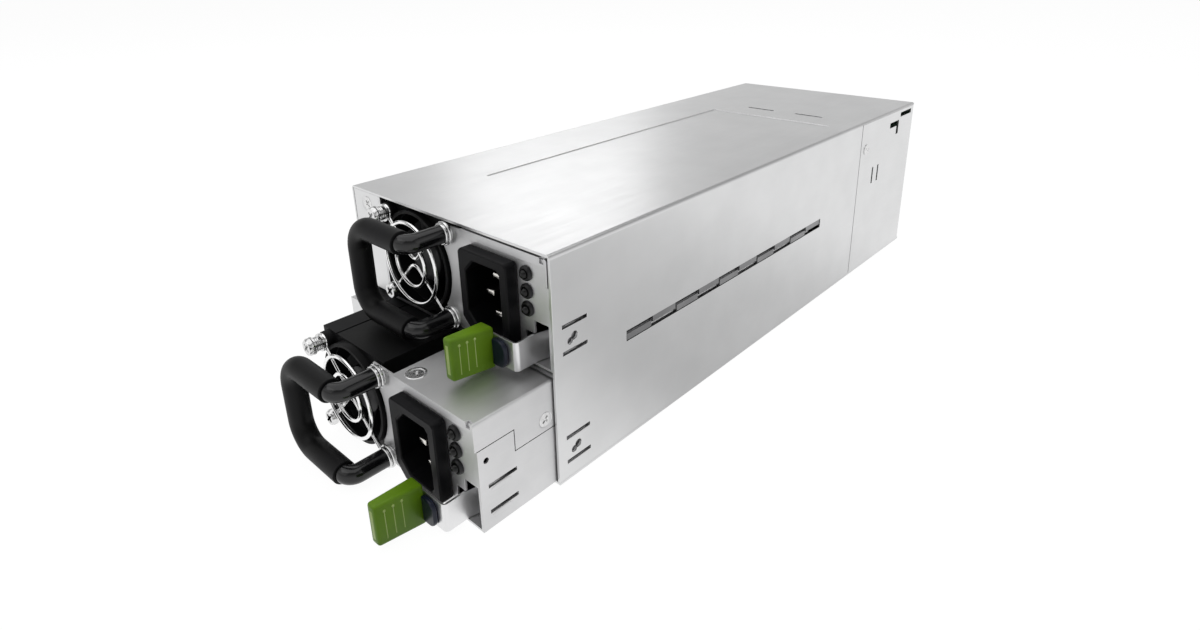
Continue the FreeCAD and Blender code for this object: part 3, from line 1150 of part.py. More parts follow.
os.makedirs("parts", exist_ok=True)
for piece in pieces:
    piece.Shape.exportStep(f"parts/{piece.Label}.step")
print(len(pieces), "parts written")
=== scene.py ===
import math

import bmesh
import bpy
from mathutils import Matrix, Vector


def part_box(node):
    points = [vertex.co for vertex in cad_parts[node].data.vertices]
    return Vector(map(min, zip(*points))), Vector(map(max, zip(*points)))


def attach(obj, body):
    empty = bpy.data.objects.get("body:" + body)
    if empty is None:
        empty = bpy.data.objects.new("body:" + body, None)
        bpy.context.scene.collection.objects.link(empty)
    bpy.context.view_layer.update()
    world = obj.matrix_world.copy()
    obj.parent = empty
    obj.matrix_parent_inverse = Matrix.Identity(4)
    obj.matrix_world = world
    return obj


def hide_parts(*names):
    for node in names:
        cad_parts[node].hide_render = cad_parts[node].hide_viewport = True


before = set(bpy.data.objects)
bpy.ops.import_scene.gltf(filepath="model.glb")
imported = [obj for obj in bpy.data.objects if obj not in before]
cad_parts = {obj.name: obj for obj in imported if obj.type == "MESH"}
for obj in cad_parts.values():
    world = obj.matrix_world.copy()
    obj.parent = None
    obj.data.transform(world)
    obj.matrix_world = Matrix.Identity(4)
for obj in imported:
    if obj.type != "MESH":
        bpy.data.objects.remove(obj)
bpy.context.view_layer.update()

# Pieces of a module are drawn in millimetres in the module's own frame: X from its left side,
# Y back from its front plane, Z up from its underside. settle() carries them to their bay.

MM = 0.001
X_AXIS = Vector((1, 0, 0))
Y_AXIS = Vector((0, 1, 0))
Z_AXIS = Vector((0, 0, 1))
BAYS = ("lower", "upper")

BAR_RADIUS = 3.4
GRIP_RADIUS = 4.2
BAR_BEND = 3.6
LOOP_CORNER = 9.0
WIRE_RADIUS = 0.75
RING_OUTER = 15.8
RING_INNER = 9.0
EYE_RADIUS = 2.5
KINK_RADIUS = 3.6
HOOK_RADIUS = 1.2
FAN_PITCH = 32.0
SHEET_EDGE = 0.18
CLEAR = 0.06
LID_SCREW = 2.7
SIDE_SCREW = 2.9
COVER_SCREW = 3.5
TAB_FRONT_THICK = 4.2
TAB_REAR_THICK = 6.4
TAB_FRONT_RISE = 3.6
TAB_REAR_RISE = 1.4
PAN_HEAD = 3.7


# Places read from the frame

def module_origin(bay):
    """Left side, front plane and underside of a module."""
    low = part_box(f"{bay}_case_base")[0]
    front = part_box(f"{bay}_case_cover")[0][1]
    return Vector((low[0], front, low[2]))


def span(node, bay="lower"):
    """Lowest and highest corner of a module's node, in the module's frame."""
    origin = module_origin(bay)
    low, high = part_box(f"{bay}_{node}")
    return (Vector(low) - origin) / MM, (Vector(high) - origin) / MM


def centre(node):
    low, high = span(node)
    return (low + high) / 2


# Meshes

def ring(bm, at, facing, radius, segments):
    """An open circle of edges."""
    turn = facing.to_track_quat("Z", "Y").to_matrix().to_4x4()
    made = bmesh.ops.create_circle(bm, segments=segments, radius=radius, matrix=Matrix.Translation(at) @ turn)
    return list({edge for vert in made["verts"] for edge in vert.link_edges})


def loop_of(bm, points):
    """A closed loop of edges through a few points."""
    verts = [bm.verts.new(point) for point in points]
    return [bm.edges.new((verts[i - 1], verts[i])) for i in range(len(verts))]


def run(bm, edges, vector):
    """Draws edges out along a vector and returns the far edges."""
    made = bmesh.ops.extrude_edge_only(bm, edges=edges)["geom"]
    bmesh.ops.translate(bm, vec=vector, verts=[part for part in made if isinstance(part, bmesh.types.BMVert)])
    return [part for part in made if isinstance(part, bmesh.types.BMEdge)]


def bend(bm, edges, at, axis, angle, steps):
    made = bmesh.ops.spin(bm, geom=edges, cent=at, axis=axis, angle=angle, steps=steps)["geom_last"]
    return [part for part in made if isinstance(part, bmesh.types.BMEdge)]


def grow(bm, edges, factor, at):
    """Scales the verts of some edges about a point."""
    verts = list({vert for edge in edges for vert in edge.verts})
    bmesh.ops.scale(bm, vec=Vector((factor, factor, factor)), verts=verts, space=Matrix.Translation(-at))


def cap(bm, edges):
    bmesh.ops.edgeloop_fill(bm, edges=edges)


def lathe(bm, at, axis, profile, segments=48):
    """A turned shape. The profile is pairs of radius and distance along the axis."""
    side = axis.orthogonal().normalized()
    verts = [bm.verts.new(at + axis * along + side * radius) for radius, along in profile]
    edges = [bm.edges.new(pair) for pair in zip(verts, verts[1:])]
    bmesh.ops.spin(bm, geom=verts + edges, cent=at, axis=axis, angle=math.tau, steps=segments, use_merge=True)


def torus(bm, at, axis, radius, wire, segments=96, around=16):
    side = axis.orthogonal().normalized()
    start = ring(bm, at + side * radius, axis.cross(side), wire, around)
    verts = list({vert for edge in start for vert in edge.verts})
    bmesh.ops.spin(bm, geom=verts + start, cent=at, axis=axis, angle=math.tau, steps=segments, use_merge=True)


def wire(bm, start, end, radius, around=16):
    """A straight wire with rounded ends."""
    along = (end - start).normalized()
    edges = ring(bm, start, along, radius * 0.5, around)
    cap(bm, edges)
    edges = run(bm, edges, along * radius * 0.5)
    grow(bm, edges, 2.0, start + along * radius * 0.5)
    edges = run(bm, edges, end - start - along * radius)
    edges = run(bm, edges, along * radius * 0.5)
    grow(bm, edges, 0.5, end)
    cap(bm, edges)


def brick(bm, low, high, round_edges=0.0, segments=3, pick=None):
    """A box between two corners, with chosen edges rounded."""
    made = bmesh.ops.create_cube(bm, size=1.0)["verts"]
    bmesh.ops.scale(bm, vec=high - low, verts=made)
    bmesh.ops.translate(bm, vec=(low + high) / 2, verts=made)
    edges = list({edge for vert in made for edge in vert.link_edges})
    if pick:
        edges = [edge for edge in edges if pick(edge)]
    if round_edges:
        bmesh.ops.bevel(bm, geom=edges, offset=round_edges, segments=segments, profile=0.5, affect="EDGES",
                        clamp_overlap=True, material=-1)


def cross_head(bm, at, facing, radius, height, recess):
    """A screw head that faces along an axis, with a cross recess. The base is at the given point."""
    side = facing.orthogonal().normalized()
    other = facing.cross(side)
    arm = radius * 0.56
    half = radius * 0.15
    corners = []
    for turn in range(4):
        ahead = side if turn % 2 == 0 else other
        ahead = ahead if turn < 2 else -ahead
        across = facing.cross(ahead)
        corners += [at + facing * height + ahead * arm - across * half, at + facing * height + ahead * arm + across * half,
                    at + facing * height + ahead * half + across * half]
    base = ring(bm, at, facing, radius, 36)
    cap(bm, base)
    shoulder = run(bm, base, facing * height * 0.55)
    crown = run(bm, shoulder, facing * height * 0.45)
    grow(bm, crown, 0.86, at + facing * height)
    cross = loop_of(bm, corners)
    bmesh.ops.bridge_loops(bm, edges=crown + cross)
    floor = run(bm, cross, -facing * recess)
    grow(bm, floor, 0.7, at + facing * (height - recess))
    cap(bm, floor)


# Objects

def settle(bm, name, finish, body, bay=None, replaces=(), edge=0.0, sharp=35.0):
    """Carries a mesh from the module's millimetres to its bay and makes it a finished object."""
    bmesh.ops.remove_doubles(bm, verts=bm.verts, dist=1e-4)
    bmesh.ops.dissolve_degenerate(bm, edges=bm.edges, dist=1e-5)
    bmesh.ops.recalc_face_normals(bm, faces=bm.faces)
    origin = module_origin(bay) if bay else Vector((0, 0, 0))
    bmesh.ops.transform(bm, matrix=Matrix.Translation(origin) @ Matrix.Scale(MM, 4), verts=bm.verts)
    return show(bm, name, finish, body, replaces, edge, sharp)


def show(bm, name, finish, body, replaces=(), edge=0.0, sharp=35.0):
    mesh = bpy.data.meshes.new(name)
    bm.to_mesh(mesh)
    bm.free()
    mesh.polygons.foreach_set("use_smooth", [True] * len(mesh.polygons))
    mesh.set_sharp_from_angle(angle=math.radians(sharp))
    mesh.materials.append(finish)
    piece = bpy.data.objects.new(name, mesh)
    bpy.context.scene.collection.objects.link(piece)
    if edge:
        rounding = piece.modifiers.new("edge", "BEVEL")
        rounding.width = edge * MM
        rounding.segments = 2
        rounding.limit_method = "ANGLE"
        rounding.angle_limit = math.radians(30)
        even = piece.modifiers.new("even", "WEIGHTED_NORMAL")
        even.mode = "FACE_AREA"
        even.weight = 50
        even.keep_sharp = True
    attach(piece, body)
    if replaces:
        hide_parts(*replaces)
    return piece


def rolled(node, finish, body, edge=SHEET_EDGE):
    """The node's own shape with its facets merged and its edges slightly rounded."""
    bm = bmesh.new()
    bm.from_mesh(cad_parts[node].data)
    bmesh.ops.remove_doubles(bm, verts=bm.verts, dist=1e-6)
    bmesh.ops.dissolve_limit(bm, angle_limit=math.radians(0.5), verts=bm.verts, edges=bm.edges)
    return show(bm, f"{node}_rolled", finish, body, (node,), edge, 30.0)


def paint(node, finish):
    """Gives a node that keeps its own shape its finish."""
    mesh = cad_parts[node].data
    mesh.materials.clear()
    mesh.materials.append(finish)


# Finishes

def nodes_of(name):
    finish = bpy.data.materials.new(name)
    finish.use_nodes = True
    tree = finish.node_tree
    return finish, tree, tree.nodes["Principled BSDF"]


def grain(tree, stretch, scale, detail=4.0):
    """Noise over the piece, stretched along its axes."""
    coords = tree.nodes.new("ShaderNodeTexCoord")
    mapping = tree.nodes.new("ShaderNodeMapping")
    mapping.inputs["Scale"].default_value = stretch
    noise = tree.nodes.new("ShaderNodeTexNoise")
    noise.inputs["Scale"].default_value = scale
    noise.inputs["Detail"].default_value = detail
    tree.links.new(coords.outputs["Object"], mapping.inputs["Vector"])
    tree.links.new(mapping.outputs["Vector"], noise.inputs["Vector"])
    return noise.outputs["Fac"]


def spread(tree, value, low, high):
    ramp = tree.nodes.new("ShaderNodeMapRange")
    ramp.inputs["From Min"].default_value = 0.3
    ramp.inputs["From Max"].default_value = 0.7
    ramp.inputs["To Min"].default_value = low
    ramp.inputs["To Max"].default_value = high
    tree.links.new(value, ramp.inputs["Value"])
    return ramp.outputs["Result"]


def tint(tree, value, dark, light):
    ramp = tree.nodes.new("ShaderNodeValToRGB")
    ramp.color_ramp.elements[0].position = 0.35
    ramp.color_ramp.elements[0].color = (*dark, 1)
    ramp.color_ramp.elements[1].position = 0.65
    ramp.color_ramp.elements[1].color = (*light, 1)
    tree.links.new(value, ramp.inputs["Fac"])
    return ramp.outputs["Color"]


def relief(tree, value, strength, distance):
    bump = tree.nodes.new("ShaderNodeBump")
    bump.inputs["Strength"].default_value = strength
    bump.inputs["Distance"].default_value = distance
    tree.links.new(value, bump.inputs["Height"])
    return bump.outputs["Normal"]


def sheet_steel(name, dark, light, roughness, brush=(900, 40, 900)):
    """Galvanised sheet: a soft cloud of zinc over a fine rolled grain."""
    finish, tree, shader = nodes_of(name)
    cloud = grain(tree, (1, 1, 1), 55, 6)
    lines = grain(tree, brush, 1.0, 3)
    tree.links.new(tint(tree, cloud, dark, light), shader.inputs["Base Color"])
    tree.links.new(spread(tree, lines, roughness - 0.025, roughness + 0.025), shader.inputs["Roughness"])
    tree.links.new(relief(tree, lines, 0.03, 0.0001), shader.inputs["Normal"])
    shader.inputs["Metallic"].default_value = 1.0
    return finish


def bright_metal(name, dark, light, roughness):
    finish, tree, shader = nodes_of(name)
    marks = grain(tree, (1, 1, 1), 900, 5)
    tree.links.new(tint(tree, marks, dark, light), shader.inputs["Base Color"])
    tree.links.new(spread(tree, marks, roughness * 0.7, roughness * 1.3), shader.inputs["Roughness"])
    shader.inputs["Metallic"].default_value = 1.0
    return finish


def moulding(name, dark, light, roughness, pit=0.12, shine=0.5, scale=1800):
    """Moulded plastic with a fine spark-eroded texture."""
    finish, tree, shader = nodes_of(name)
    pits = grain(tree, (1, 1, 1), scale, 3)
    wear = grain(tree, (1, 1, 1), 60, 5)
    tree.links.new(tint(tree, wear, dark, light), shader.inputs["Base Color"])
    tree.links.new(spread(tree, wear, roughness - 0.06, roughness + 0.06), shader.inputs["Roughness"])
    tree.links.new(relief(tree, pits, pit, 0.0001), shader.inputs["Normal"])
    shader.inputs["Specular IOR Level"].default_value = shine
    return finish


CAGE_STEEL = sheet_steel("cage_steel", (0.71, 0.712, 0.715), (0.745, 0.747, 0.75), 0.33)
# The divider shelf's steel is darkened as painted shade, so that the slot between the bays looks dark.
SHELF_PAINTED_SHADE_STEEL = sheet_steel("shelf_steel_painted_shade", (0.24, 0.24, 0.245), (0.32, 0.32, 0.325), 0.38)
MODULE_STEEL = sheet_steel("module_steel", (0.66, 0.66, 0.665), (0.72, 0.72, 0.725), 0.50)
SPRING_STEEL = sheet_steel("spring_steel", (0.74, 0.74, 0.745), (0.80, 0.80, 0.805), 0.32, (120, 120, 900))
SCREW_STEEL = bright_metal("fastener_steel", (0.66, 0.66, 0.66), (0.80, 0.80, 0.80), 0.22)
GUARD_CHROME = bright_metal("guard_wire", (0.88, 0.88, 0.88), (0.94, 0.94, 0.94), 0.12)
CONTACT_METAL = bright_metal("contact_metal", (0.70, 0.68, 0.64), (0.82, 0.80, 0.76), 0.20)
DUCT_PLASTIC = moulding("duct_plastic", (0.003, 0.003, 0.003), (0.006, 0.006, 0.007), 0.52, shine=0.16)
FAN_PLASTIC = moulding("fan_plastic", (0.006, 0.006, 0.007), (0.011, 0.011, 0.012), 0.42, shine=0.35)
BAR_PAINT = moulding("bar_paint", (0.004, 0.004, 0.005), (0.008, 0.008, 0.009), 0.16, 0.02, 0.5, 0.3)
GRIP_SLEEVE = moulding("grip_sleeve", (0.003, 0.003, 0.003), (0.007, 0.007, 0.008), 0.50, shine=0.18)
INLET_PLASTIC = moulding("inlet_plastic", (0.003, 0.003, 0.004), (0.006, 0.006, 0.007), 0.46, shine=0.14)
LAMP_LENS = moulding("lamp_lens", (0.003, 0.003, 0.003), (0.006, 0.006, 0.006), 0.12, 0.0, 0.3, 0.8)
LATCH_CORE = moulding("latch_core", (0.003, 0.007, 0.022), (0.005, 0.011, 0.030), 0.36, 0.05, 0.35)
LATCH_TAB = moulding("latch_tab", (0.14, 0.29, 0.006), (0.18, 0.35, 0.010), 0.42, 0.08, 0.3)
# Lighter green for the thumb tab's ribs, dots and front-left strip: painted highlight on the ribs, painted light in the
# slit.
LATCH_PAINTED_HIGHLIGHT = moulding("latch_tab_painted_highlight", (0.50, 0.68, 0.18), (0.60, 0.76, 0.26), 0.40, 0.04, 0.4)
CIRCUIT_BOARD = moulding("circuit_board", (0.010, 0.09, 0.035), (0.016, 0.14, 0.05), 0.35, 0.04, scale=0.3)
WINDING = moulding("winding", (0.12, 0.10, 0.07), (0.20, 0.17, 0.11), 0.55)
CAPACITOR_SLEEVE = moulding("capacitor_sleeve", (0.02, 0.03, 0.08), (0.03, 0.05, 0.11), 0.25, 0.02, scale=0.3)
SINK_METAL = sheet_steel("sink_metal", (0.68, 0.69, 0.70), (0.76, 0.77, 0.78), 0.40)


# Cage

def cage():
    for node in ("cage_shell", "cage_floor", "channel_wall", "channel_cover_upper", "channel_cover_lower",
                 "rear_housing"):
        rolled(node, CAGE_STEEL, "cage")
    # The divider shelf takes the darkened steel: painted shade for the slot.
    rolled("divider_shelf", SHELF_PAINTED_SHADE_STEEL, "cage")
    rolled("outlet_bush", DUCT_PLASTIC, "cage", 0.3)
    for node, finish in (("backplane_board", CIRCUIT_BOARD), ("output_board", CIRCUIT_BOARD), ("bay_sockets", FAN_PLASTIC),
                         ("output_posts", CONTACT_METAL)):
        paint(node, finish)
    low, high = (Vector(corner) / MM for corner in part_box("cage_screws"))
    bm = bmesh.new()
    countersunk(bm, Vector((low.x + COVER_SCREW, low.y, high.z - COVER_SCREW)), -Y_AXIS, 2.9, 0.3)
    cross_head(bm, Vector((high.x - 0.5, high.y - 2.9, low.z + 2.9)), X_AXIS, 2.8, 0.45, 0.3)
    settle(bm, "cage_screw_heads", SCREW_STEEL, "cage", replaces=("cage_screws",))


def countersunk(bm, at, facing, radius, sunk=CLEAR):
    """A countersunk head whose rim lies a little below the sheet's face."""
    level = at - facing * sunk
    deep = 0.8
    narrow = 0.6
    base = ring(bm, at - facing * deep, facing, radius * narrow, 36)
    cap(bm, base)
    rim = run(bm, base, facing * (deep - sunk))
    grow(bm, rim, 0.97 / narrow, level)
    lip = run(bm, rim, facing * 0.0)
    grow(bm, lip, 0.88, level)
    side = facing.orthogonal().normalized()
    other = facing.cross(side)
    corners = []
    for turn in range(4):
        ahead = side if turn % 2 == 0 else other
        ahead = ahead if turn < 2 else -ahead
        across = facing.cross(ahead)
        corners += [level + ahead * radius * 0.55 - across * radius * 0.14,
                    level + ahead * radius * 0.55 + across * radius * 0.14,
                    level + ahead * radius * 0.14 + across * radius * 0.14]
    cross = loop_of(bm, corners)
    bmesh.ops.bridge_loops(bm, edges=lip + cross)
    floor = run(bm, cross, -facing * 0.65)
    grow(bm, floor, 0.8, level - facing * 0.65)
    cap(bm, floor)


# Module

def case(bay):
    body = f"{bay}_module"
    rolled(f"{bay}_case_base", MODULE_STEEL, body)
    rolled(f"{bay}_case_cover", MODULE_STEEL, body)
    low, high = span("case_screws")
    bm = bmesh.new()
    lid = Vector((low.x + LID_SCREW, low.y + LID_SCREW, high.z))
    countersunk(bm, lid, Z_AXIS, LID_SCREW - 0.05)
    lathe(bm, lid, Z_AXIS, [(LID_SCREW, -0.05), (LID_SCREW + 0.15, 0.14), (PAN_HEAD - 0.35, 0.2), (PAN_HEAD, 0.02),
                            (PAN_HEAD, -0.05), (LID_SCREW, -0.05)])
    countersunk(bm, Vector((high.x, high.y - SIDE_SCREW, low.z + SIDE_SCREW)), X_AXIS, SIDE_SCREW - 0.3, 0.2)
    settle(bm, f"{bay}_case_screw_heads", SCREW_STEEL, body, bay, (f"{bay}_case_screws",))


def bulges(bay):
    """Half-moon bulges under the two slits of the module's right wall."""
    low, high = span("case_base")
    bm = bmesh.new()
    for slit in (6.0, 15.6):
        at = Vector((high.x - 0.02, 8.8, slit - 1.9))
        made = bmesh.ops.create_uvsphere(bm, u_segments=32, v_segments=16, radius=1.0)["verts"]
        bmesh.ops.scale(bm, vec=Vector((0.32, 4.2, 1.2)), verts=made)
        bmesh.ops.translate(bm, vec=at, verts=made)
    settle(bm, f"{bay}_case_bulges", MODULE_STEEL, f"{bay}_module", bay)


def fan(bay):
    body = f"{bay}_module"
    rolled(f"{bay}_fan_duct", DUCT_PLASTIC, body, 0.35)
    rolled(f"{bay}_fan_frame", FAN_PLASTIC, body, 0.2)
    hub = centre("fan_rotor")
    low, high = span("fan_rotor")
    radius = 9.2
    bm = bmesh.new()
    lathe(bm, Vector((hub.x, low.y, hub.z)), Y_AXIS, [
        (0, 0.1), (4.6, 0.1), (5.0, 0), (radius - 1.2, 0), (radius - 0.35, 0.35), (radius, 1.2),
        (radius, high.y - low.y), (1.55, high.y - low.y), (1.55, 1.0), (0, 1.0)])
    blade_count = 7
    for number in range(blade_count):
        blade = bmesh.new()
        near = low.y + 3.2
        far = high.y - 3.0
        tilt = 0.72
        edge = [blade.verts.new(Vector((hub.x + radius - 0.8, near + (far - near) * step / 6, hub.z))) for step in range(7)]
        for step, vert in enumerate(edge):
            turn = tilt * (step / 6 - 0.5) + 0.16 * math.sin(math.pi * step / 6)
            bmesh.ops.rotate(blade, cent=hub, matrix=Matrix.Rotation(turn, 3, "Y"), verts=[vert])
        strip = [blade.edges.new(pair) for pair in zip(edge, edge[1:])]
        for step in range(5):
            reach = (hub.x + radius - 0.8 + (16.4 - radius + 0.8) * step / 5) - hub.x
            ahead = (hub.x + radius - 0.8 + (16.4 - radius + 0.8) * (step + 1) / 5) - hub.x
            strip = run(blade, strip, Vector((0, 0, 0)))
            verts = list({vert for part in strip for vert in part.verts})
            bmesh.ops.scale(blade, vec=Vector((ahead / reach, 1, ahead / reach)), verts=verts,
                            space=Matrix.Translation(-hub))
            bmesh.ops.rotate(blade, cent=hub, matrix=Matrix.Rotation(0.05, 3, "Y"), verts=verts)
        bmesh.ops.solidify(blade, geom=blade.faces, thickness=0.7)
        bmesh.ops.rotate(blade, cent=hub, matrix=Matrix.Rotation(math.tau * number / blade_count, 3, "Y"), verts=blade.verts)
        part = bpy.data.meshes.new("blade")
        blade.to_mesh(part)
        blade.free()
        bm.from_mesh(part)
        bpy.data.meshes.remove(part)
    settle(bm, f"{bay}_fan_wheel", FAN_PLASTIC, f"{bay}_fan", bay, (f"{bay}_fan_rotor",))


def guard(bay):
    """Two rings on two wires, each with an eye, a kink by the hub and a hook into the duct."""
    body = f"{bay}_module"
    hub = centre("fan_rotor")
    low, high = span("fan_guard")
    plane = low.y + 2.5 * WIRE_RADIUS + WIRE_RADIUS
    middle = Vector((hub.x, plane, hub.z))
    rings = Vector((hub.x, low.y + WIRE_RADIUS, hub.z))
    bm = bmesh.new()
    torus(bm, rings, Y_AXIS, RING_OUTER, WIRE_RADIUS)
    torus(bm, rings, Y_AXIS, RING_INNER, WIRE_RADIUS)
    reach = high.x - WIRE_RADIUS - hub.x
    for up in (-1, 1):
        eye = middle + Vector((-1, 0, up)) * FAN_PITCH / 2
        torus(bm, eye, Y_AXIS, EYE_RADIUS, WIRE_RADIUS, 32)
        inward = Vector((1, 0, -up)).normalized()
        outward = Vector((1, 0, up)).normalized()
        far = reach * math.sqrt(2)
        tube(bm, eye + inward * EYE_RADIUS, inward, WIRE_RADIUS, [
            ("run", inward * (FAN_PITCH * math.sqrt(0.5) - EYE_RADIUS - KINK_RADIUS)),
            ("bend", middle + Z_AXIS * up * KINK_RADIUS * math.sqrt(2), Y_AXIS, -up * math.pi / 2, 8),
            ("run", outward * (far - KINK_RADIUS - HOOK_RADIUS)),
            ("bend", middle + outward * (far - HOOK_RADIUS) + Y_AXIS * HOOK_RADIUS, outward.cross(Y_AXIS), math.pi / 2, 6),
            ("run", Y_AXIS * (high.y - plane - HOOK_RADIUS)),
        ], 16)
    settle(bm, f"{bay}_wire_guard", GUARD_CHROME, body, bay, (f"{bay}_fan_guard",), sharp=60)


def tube(bm, start, facing, radius, moves, around=40):
    """A round bar drawn from a ring of edges through runs and bends."""
    edges = ring(bm, start, facing, radius, around)
    cap(bm, edges)
    for kind, *details in moves:
        if kind == "run":
            edges = run(bm, edges, details[0])
        else:
            edges = bend(bm, edges, *details)
    cap(bm, edges)


def guard_screws(bay):
    body = f"{bay}_module"
    hub = centre("fan_rotor")
    low, high = span("guard_screws")
    face = span("fan_guard")[0].y + 2.5 * WIRE_RADIUS - 0.02
    left = hub.x - FAN_PITCH / 2
    bm = bmesh.new()
    bottom = Vector((left, face, hub.z - FAN_PITCH / 2))
    cross_head(bm, bottom, -Y_AXIS, 3.15, 2.0, 1.1)
    top = Vector((left, face, hub.z + FAN_PITCH / 2))
    cross_head(bm, top - Y_AXIS * 4.2, -Y_AXIS, 3.3, 1.6, 0.9)
    lathe(bm, top, -Y_AXIS, [(1.6, 0), (3.4, 0), (3.4, 0.7), (1.6, 0.7), (1.6, 0)])
    lathe(bm, top - Y_AXIS * 3.4, -Y_AXIS, [(1.6, 0), (3.4, 0), (3.4, 0.5), (1.6, 0.5), (1.6, 0)])
    coil = ring(bm, top + X_AXIS * 2.5 - Y_AXIS * 1.1, Z_AXIS, 0.34, 10)
    cap(bm, coil)
    turns = 3
    steps = 24 * turns
    made = bmesh.ops.spin(bm, geom=coil, cent=top, axis=Y_AXIS, angle=math.tau * turns, steps=steps,
                          dvec=-Y_AXIS * (2.1 / steps))["geom_last"]
    cap(bm, [part for part in made if isinstance(part, bmesh.types.BMEdge)])
    for spot, length in ((bottom, 4), (top - Y_AXIS * 4.3, 9)):
        lathe(bm, spot, Y_AXIS, [(0, 0), (1.5, 0), (1.5, length), (0, length)], 24)
    settle(bm, f"{bay}_guard_screw_set", SCREW_STEEL, body, bay, (f"{bay}_guard_screws",))


def loop_moves(width, low, high):
    """The loop's path from its upper run round two corners to its lower run, in steps that a slit can use."""
    corner = LOOP_CORNER
    across = width - corner
    steps = (0.36, 0.52, 0.12)
    upright = high - low - 2 * corner
    return ([("run", -X_AXIS * across * step) for step in steps]
            + [("bend", Vector((0, 0, high - corner)), Y_AXIS, -math.pi / 2, 16),
               ("run", -Z_AXIS * upright),
               ("bend", Vector((0, 0, low + corner)), Y_AXIS, -math.pi / 2, 16)]
            + [("run", X_AXIS * across * step) for step in reversed(steps)])


def placed(moves, offset):
    """Shifts the bend centres of some moves."""
    return [(kind, details[0] + offset, *details[1:]) if kind == "bend" else (kind, *details) for kind, *details in moves]


def handle(bay):
    """Bent bar with bare elbows and arms, a sleeve on the loop, and washers at the panel."""
    body = f"{bay}_module"
    low, high = span("handle_bar")
    arm = high.x - BAR_RADIUS
    left = low.x + BAR_RADIUS
    out = low.y + BAR_RADIUS
    bottom = low.z + BAR_RADIUS
    top = high.z - BAR_RADIUS
    washers = span("handle_collars")
    elbow = arm - BAR_BEND
    loop = placed(loop_moves(elbow - left, bottom, top), Vector((left + LOOP_CORNER, out, 0)))
    arm_long = washers[0].y - out - BAR_BEND
    bm = bmesh.new()
    tube(bm, Vector((arm, washers[0].y, top)), -Y_AXIS, BAR_RADIUS, [
        ("run", -Y_AXIS * arm_long),
        ("bend", Vector((elbow, out + BAR_BEND, top)), Z_AXIS, -math.pi / 2, 10)] + loop + [
        ("bend", Vector((elbow, out + BAR_BEND, bottom)), Z_AXIS, math.pi / 2, 10),
        ("run", Y_AXIS * arm_long)])
    settle(bm, f"{bay}_bent_bar", BAR_PAINT, body, bay, (f"{bay}_handle_bar",))
    bm = bmesh.new()
    tube(bm, Vector((elbow, out, top)), -X_AXIS, GRIP_RADIUS, loop)
    bm.normal_update()
    for height, facing in ((top, Vector((0, -0.7, -0.7))), (bottom, Vector((0, -0.7, -0.7)))):
        row = [face for face in bm.faces if abs(face.calc_center_median().z - height) < GRIP_RADIUS
               and abs(face.calc_center_median().x - (left + elbow + LOOP_CORNER * 0.6) / 2) < 3
               and face.normal.dot(facing) > 0.97]
        bmesh.ops.inset_region(bm, faces=row, thickness=0.35, depth=-0.7, use_even_offset=True)
    settle(bm, f"{bay}_grip_sleeve", GRIP_SLEEVE, body, bay, (f"{bay}_handle_grip",), edge=0.35)
    bm = bmesh.new()
    for z in (bottom, top):
        at = Vector((arm, washers[1].y, z))
        stack = ((3.5, 0.0, 1.0), (4.35, 1.15, 0.9), (3.9, 2.15, 1.1))
        for radius, start, thick in stack:
            lathe(bm, at, -Y_AXIS, [(1.95, start), (radius - 0.25, start), (radius, start + 0.25),
                                    (radius, start + thick - 0.25), (radius - 0.25, start + thick),
                                    (1.95, start + thick), (1.95, start)])
    settle(bm, f"{bay}_arm_washers", SCREW_STEEL, body, bay, (f"{bay}_handle_collars",))


def inlet(bay):
    body = f"{bay}_module"
    low, high = span("inlet_shroud")
    mid = (low + high) / 2
    panel = span("case_base")[0].y
    bm = bmesh.new()
    cut = 4.6
    face_y = low.y

    def corners(x0, x1, z0, z1, y):
        return [Vector((x0 + cut, y, z0)), Vector((x1 - 1.0, y, z0)), Vector((x1, y, z0 + 1.0)), Vector((x1, y, z1 - 1.0)),
                Vector((x1 - 1.0, y, z1)), Vector((x0 + 1.0, y, z1)), Vector((x0, y, z1 - 1.0)), Vector((x0, y, z0 + cut))]

    front = loop_of(bm, corners(low.x, high.x, low.z, high.z, face_y))
    half_x, half_z = 8.7, 11.9
    x0, x1, z0, z1 = mid.x - half_x, mid.x + half_x, mid.z - half_z, mid.z + half_z
    mouth = loop_of(bm, [Vector((x0 + cut, face_y, z0)), Vector((x1 - 1.6, face_y, z0)), Vector((x1, face_y, z0 + 1.6)),
                         Vector((x1, face_y, z1 - 1.6)), Vector((x1 - 1.6, face_y, z1)), Vector((x0 + cut, face_y, z1)),
                         Vector((x0, face_y, z1 - cut)), Vector((x0, face_y, z0 + cut))])
    bmesh.ops.bridge_loops(bm, edges=front + mouth)
    deep = run(bm, mouth, Y_AXIS * 20.0)
    cap(bm, deep)
    back = run(bm, front, Y_AXIS * (panel - face_y))
    neck = run(bm, back, Vector((0, 0, 0)))
    grow(bm, neck, 0.86, Vector((mid.x, panel, mid.z)))
    neck = run(bm, neck, Y_AXIS * (high.y - panel))
    cap(bm, neck)
    settle(bm, f"{bay}_inlet_moulding", INLET_PLASTIC, body, bay, (f"{bay}_inlet_shroud",), edge=0.55)
    low, high = span("inlet_pins")
    bm = bmesh.new()
    for x, z in ((low.x + 2, mid.z), (high.x - 2, low.z + 1), (high.x - 2, high.z - 1)):
        brick(bm, Vector((x - 2, low.y, z - 1)), Vector((x + 2, high.y, z + 1)), 0.45, 3)
    settle(bm, f"{bay}_inlet_blades", CONTACT_METAL, body, bay, (f"{bay}_inlet_pins",))


